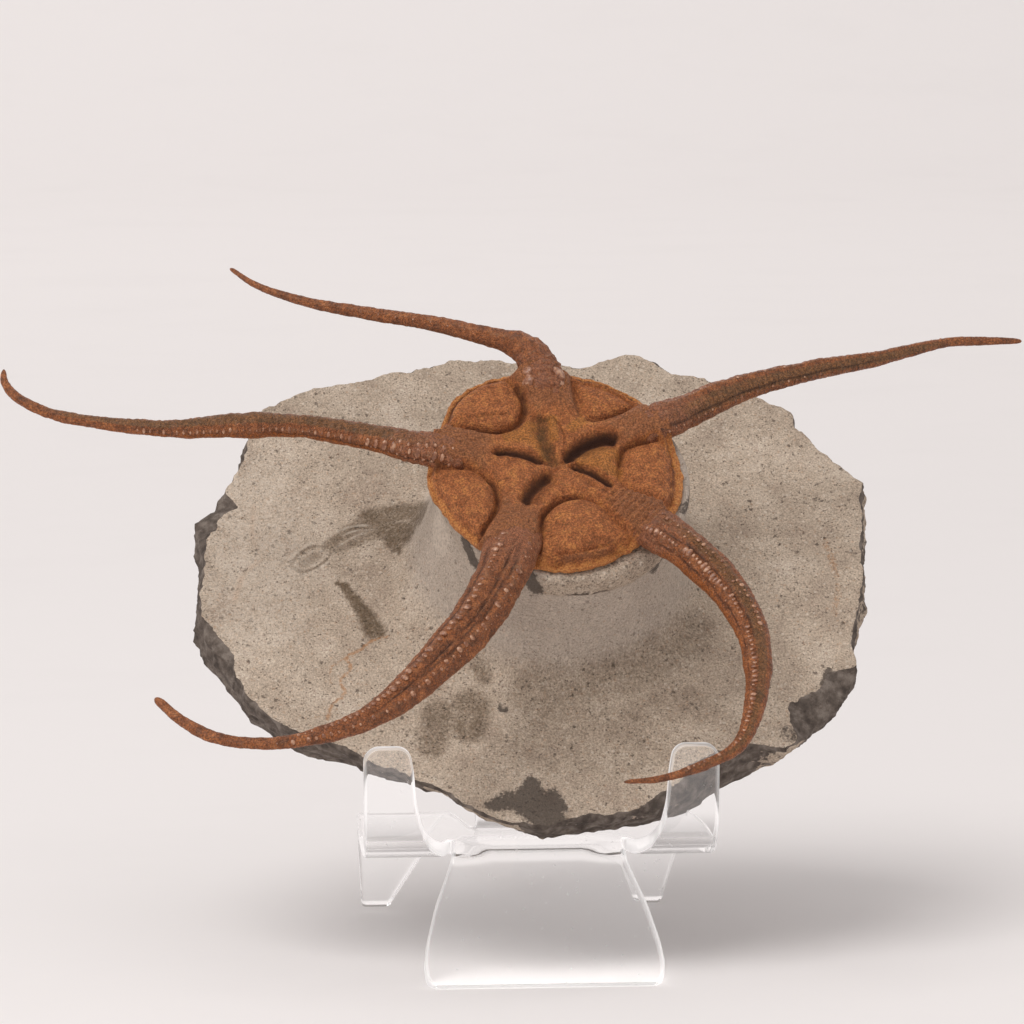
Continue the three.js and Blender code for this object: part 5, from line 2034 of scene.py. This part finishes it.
@dataclass
class Studio:
    """A curved sheet of pale paper, soft lamps and the camera."""

    ground: Array
    distance: float = 0.9
    azimuth: float = math.radians(-4.8)
    elevation: float = math.radians(7.0)
    lens: float = 215.16
    aim_right: float = -0.00228
    aim_up: float = 0.0638
    key_power: float = 8.2
    wall_power: float = 10.4
    sky: tuple[float, float, float] = (0.625, 0.607, 0.602)
    lamp_tint: tuple[float, float, float] = (1.0, 0.985, 0.97)

    def _camera(self) -> None:
        """The camera, nearly level with the slab, looking along +Y from a little to the left."""
        cos, sin = math.cos(self.elevation), math.sin(self.elevation)
        back = Vector((math.sin(self.azimuth) * cos, -math.cos(self.azimuth) * cos, sin))
        right = Vector((math.cos(self.azimuth), math.sin(self.azimuth), 0.0))
        up = back.cross(right)
        aim = Vector(self.ground) + right * self.aim_right + up * self.aim_up
        data = bpy.data.cameras.new("camera")
        data.lens = self.lens
        data.sensor_width = 36.0
        data.clip_start = 0.05
        data.clip_end = 20.0
        camera = add_object("camera", data)
        basis = Matrix((right, up, back)).transposed().to_4x4()
        camera.matrix_world = Matrix.Translation(aim + back * self.distance) @ basis
        bpy.context.scene.camera = camera

    def _backdrop(self, material: Material) -> None:
        """A floor that curves up into a wall, far behind."""
        depth, radius, height, half_width = 1.6, 0.9, 2.6, 3.0
        profile = [(-3.0, 0.0)]
        for step in range(25):
            angle = math.radians(90) * step / 24
            profile.append((depth + radius * math.sin(angle), radius * (1 - math.cos(angle))))
        profile.append((depth + radius, height))
        places = [(x, y, z) for y, z in profile for x in (-half_width, half_width)]
        faces = [(2 * k, 2 * k + 1, 2 * k + 3, 2 * k + 2) for k in range(len(profile) - 1)]
        mesh = bpy.data.meshes.new("backdrop")
        mesh.from_pydata(places, [], faces)
        mesh.shade_smooth()
        mesh.materials.append(material)
        add_object("backdrop", mesh)

    def _lamp(
        self, name: str, place: tuple[float, float, float], aim: tuple[float, float, float],
        size: float, power: float,
    ) -> None:
        """A square soft lamp.

        Args:
            name: Its name.
            place: Where it is, from the ground under the easel.
            aim: What it looks at, from there.
            size: Its side.
            power: Its watts.
        """
        data = bpy.data.lights.new(name, "AREA")
        data.shape = "SQUARE"
        data.size = size
        data.energy = power
        data.color = self.lamp_tint
        lamp = add_object(name, data)
        lamp.location = Vector(self.ground) + Vector(place)
        lamp.rotation_euler = (Vector(place) - Vector(aim)).to_track_quat("Z", "Y").to_euler()

    def _sky(self) -> None:
        """Even light from all round."""
        world = bpy.data.worlds.new("studio")
        world.use_nodes = True
        world.node_tree.nodes["Background"].inputs[0].default_value = (*self.sky, 1.0)
        bpy.context.scene.world = world

    def build(self, paper: Material) -> None:
        """Builds the studio, with a backdrop of a finish."""
        self._camera()
        self._backdrop(paper)
        aim = (0.0, 0.0, 0.05)
        self._lamp("key", (-0.50, -0.47, 1.11), aim, 0.85, self.key_power)
        self._lamp("wall_light", (-0.3, 1.0, 1.7), (-0.3, 2.5, 0.9), 1.2, self.wall_power)
        self._sky()
        bpy.context.scene.view_settings.view_transform = "Standard"


def main() -> None:
    """Builds the studio and the object, piece by piece."""
    logging.basicConfig(level=logging.INFO, format="%(name)s: %(message)s")
    effects = Effects()
    easel = EaselStand()
    Studio(easel.origin * MM).build(BackdropFinish().build(effects))
    MatrixSlab().build(StoneFinish().build(effects))
    StarDisc().build(DiscFinish().build(effects))
    arm_finish = ArmFinish().build(effects)
    for arm in ARMS:
        arm.build(arm_finish)
    Tubercles(TubercleFinish().build(effects)).build(ARMS)
    easel.build(PlasticFinish().build(effects))


if __name__ == "__main__":
    main()
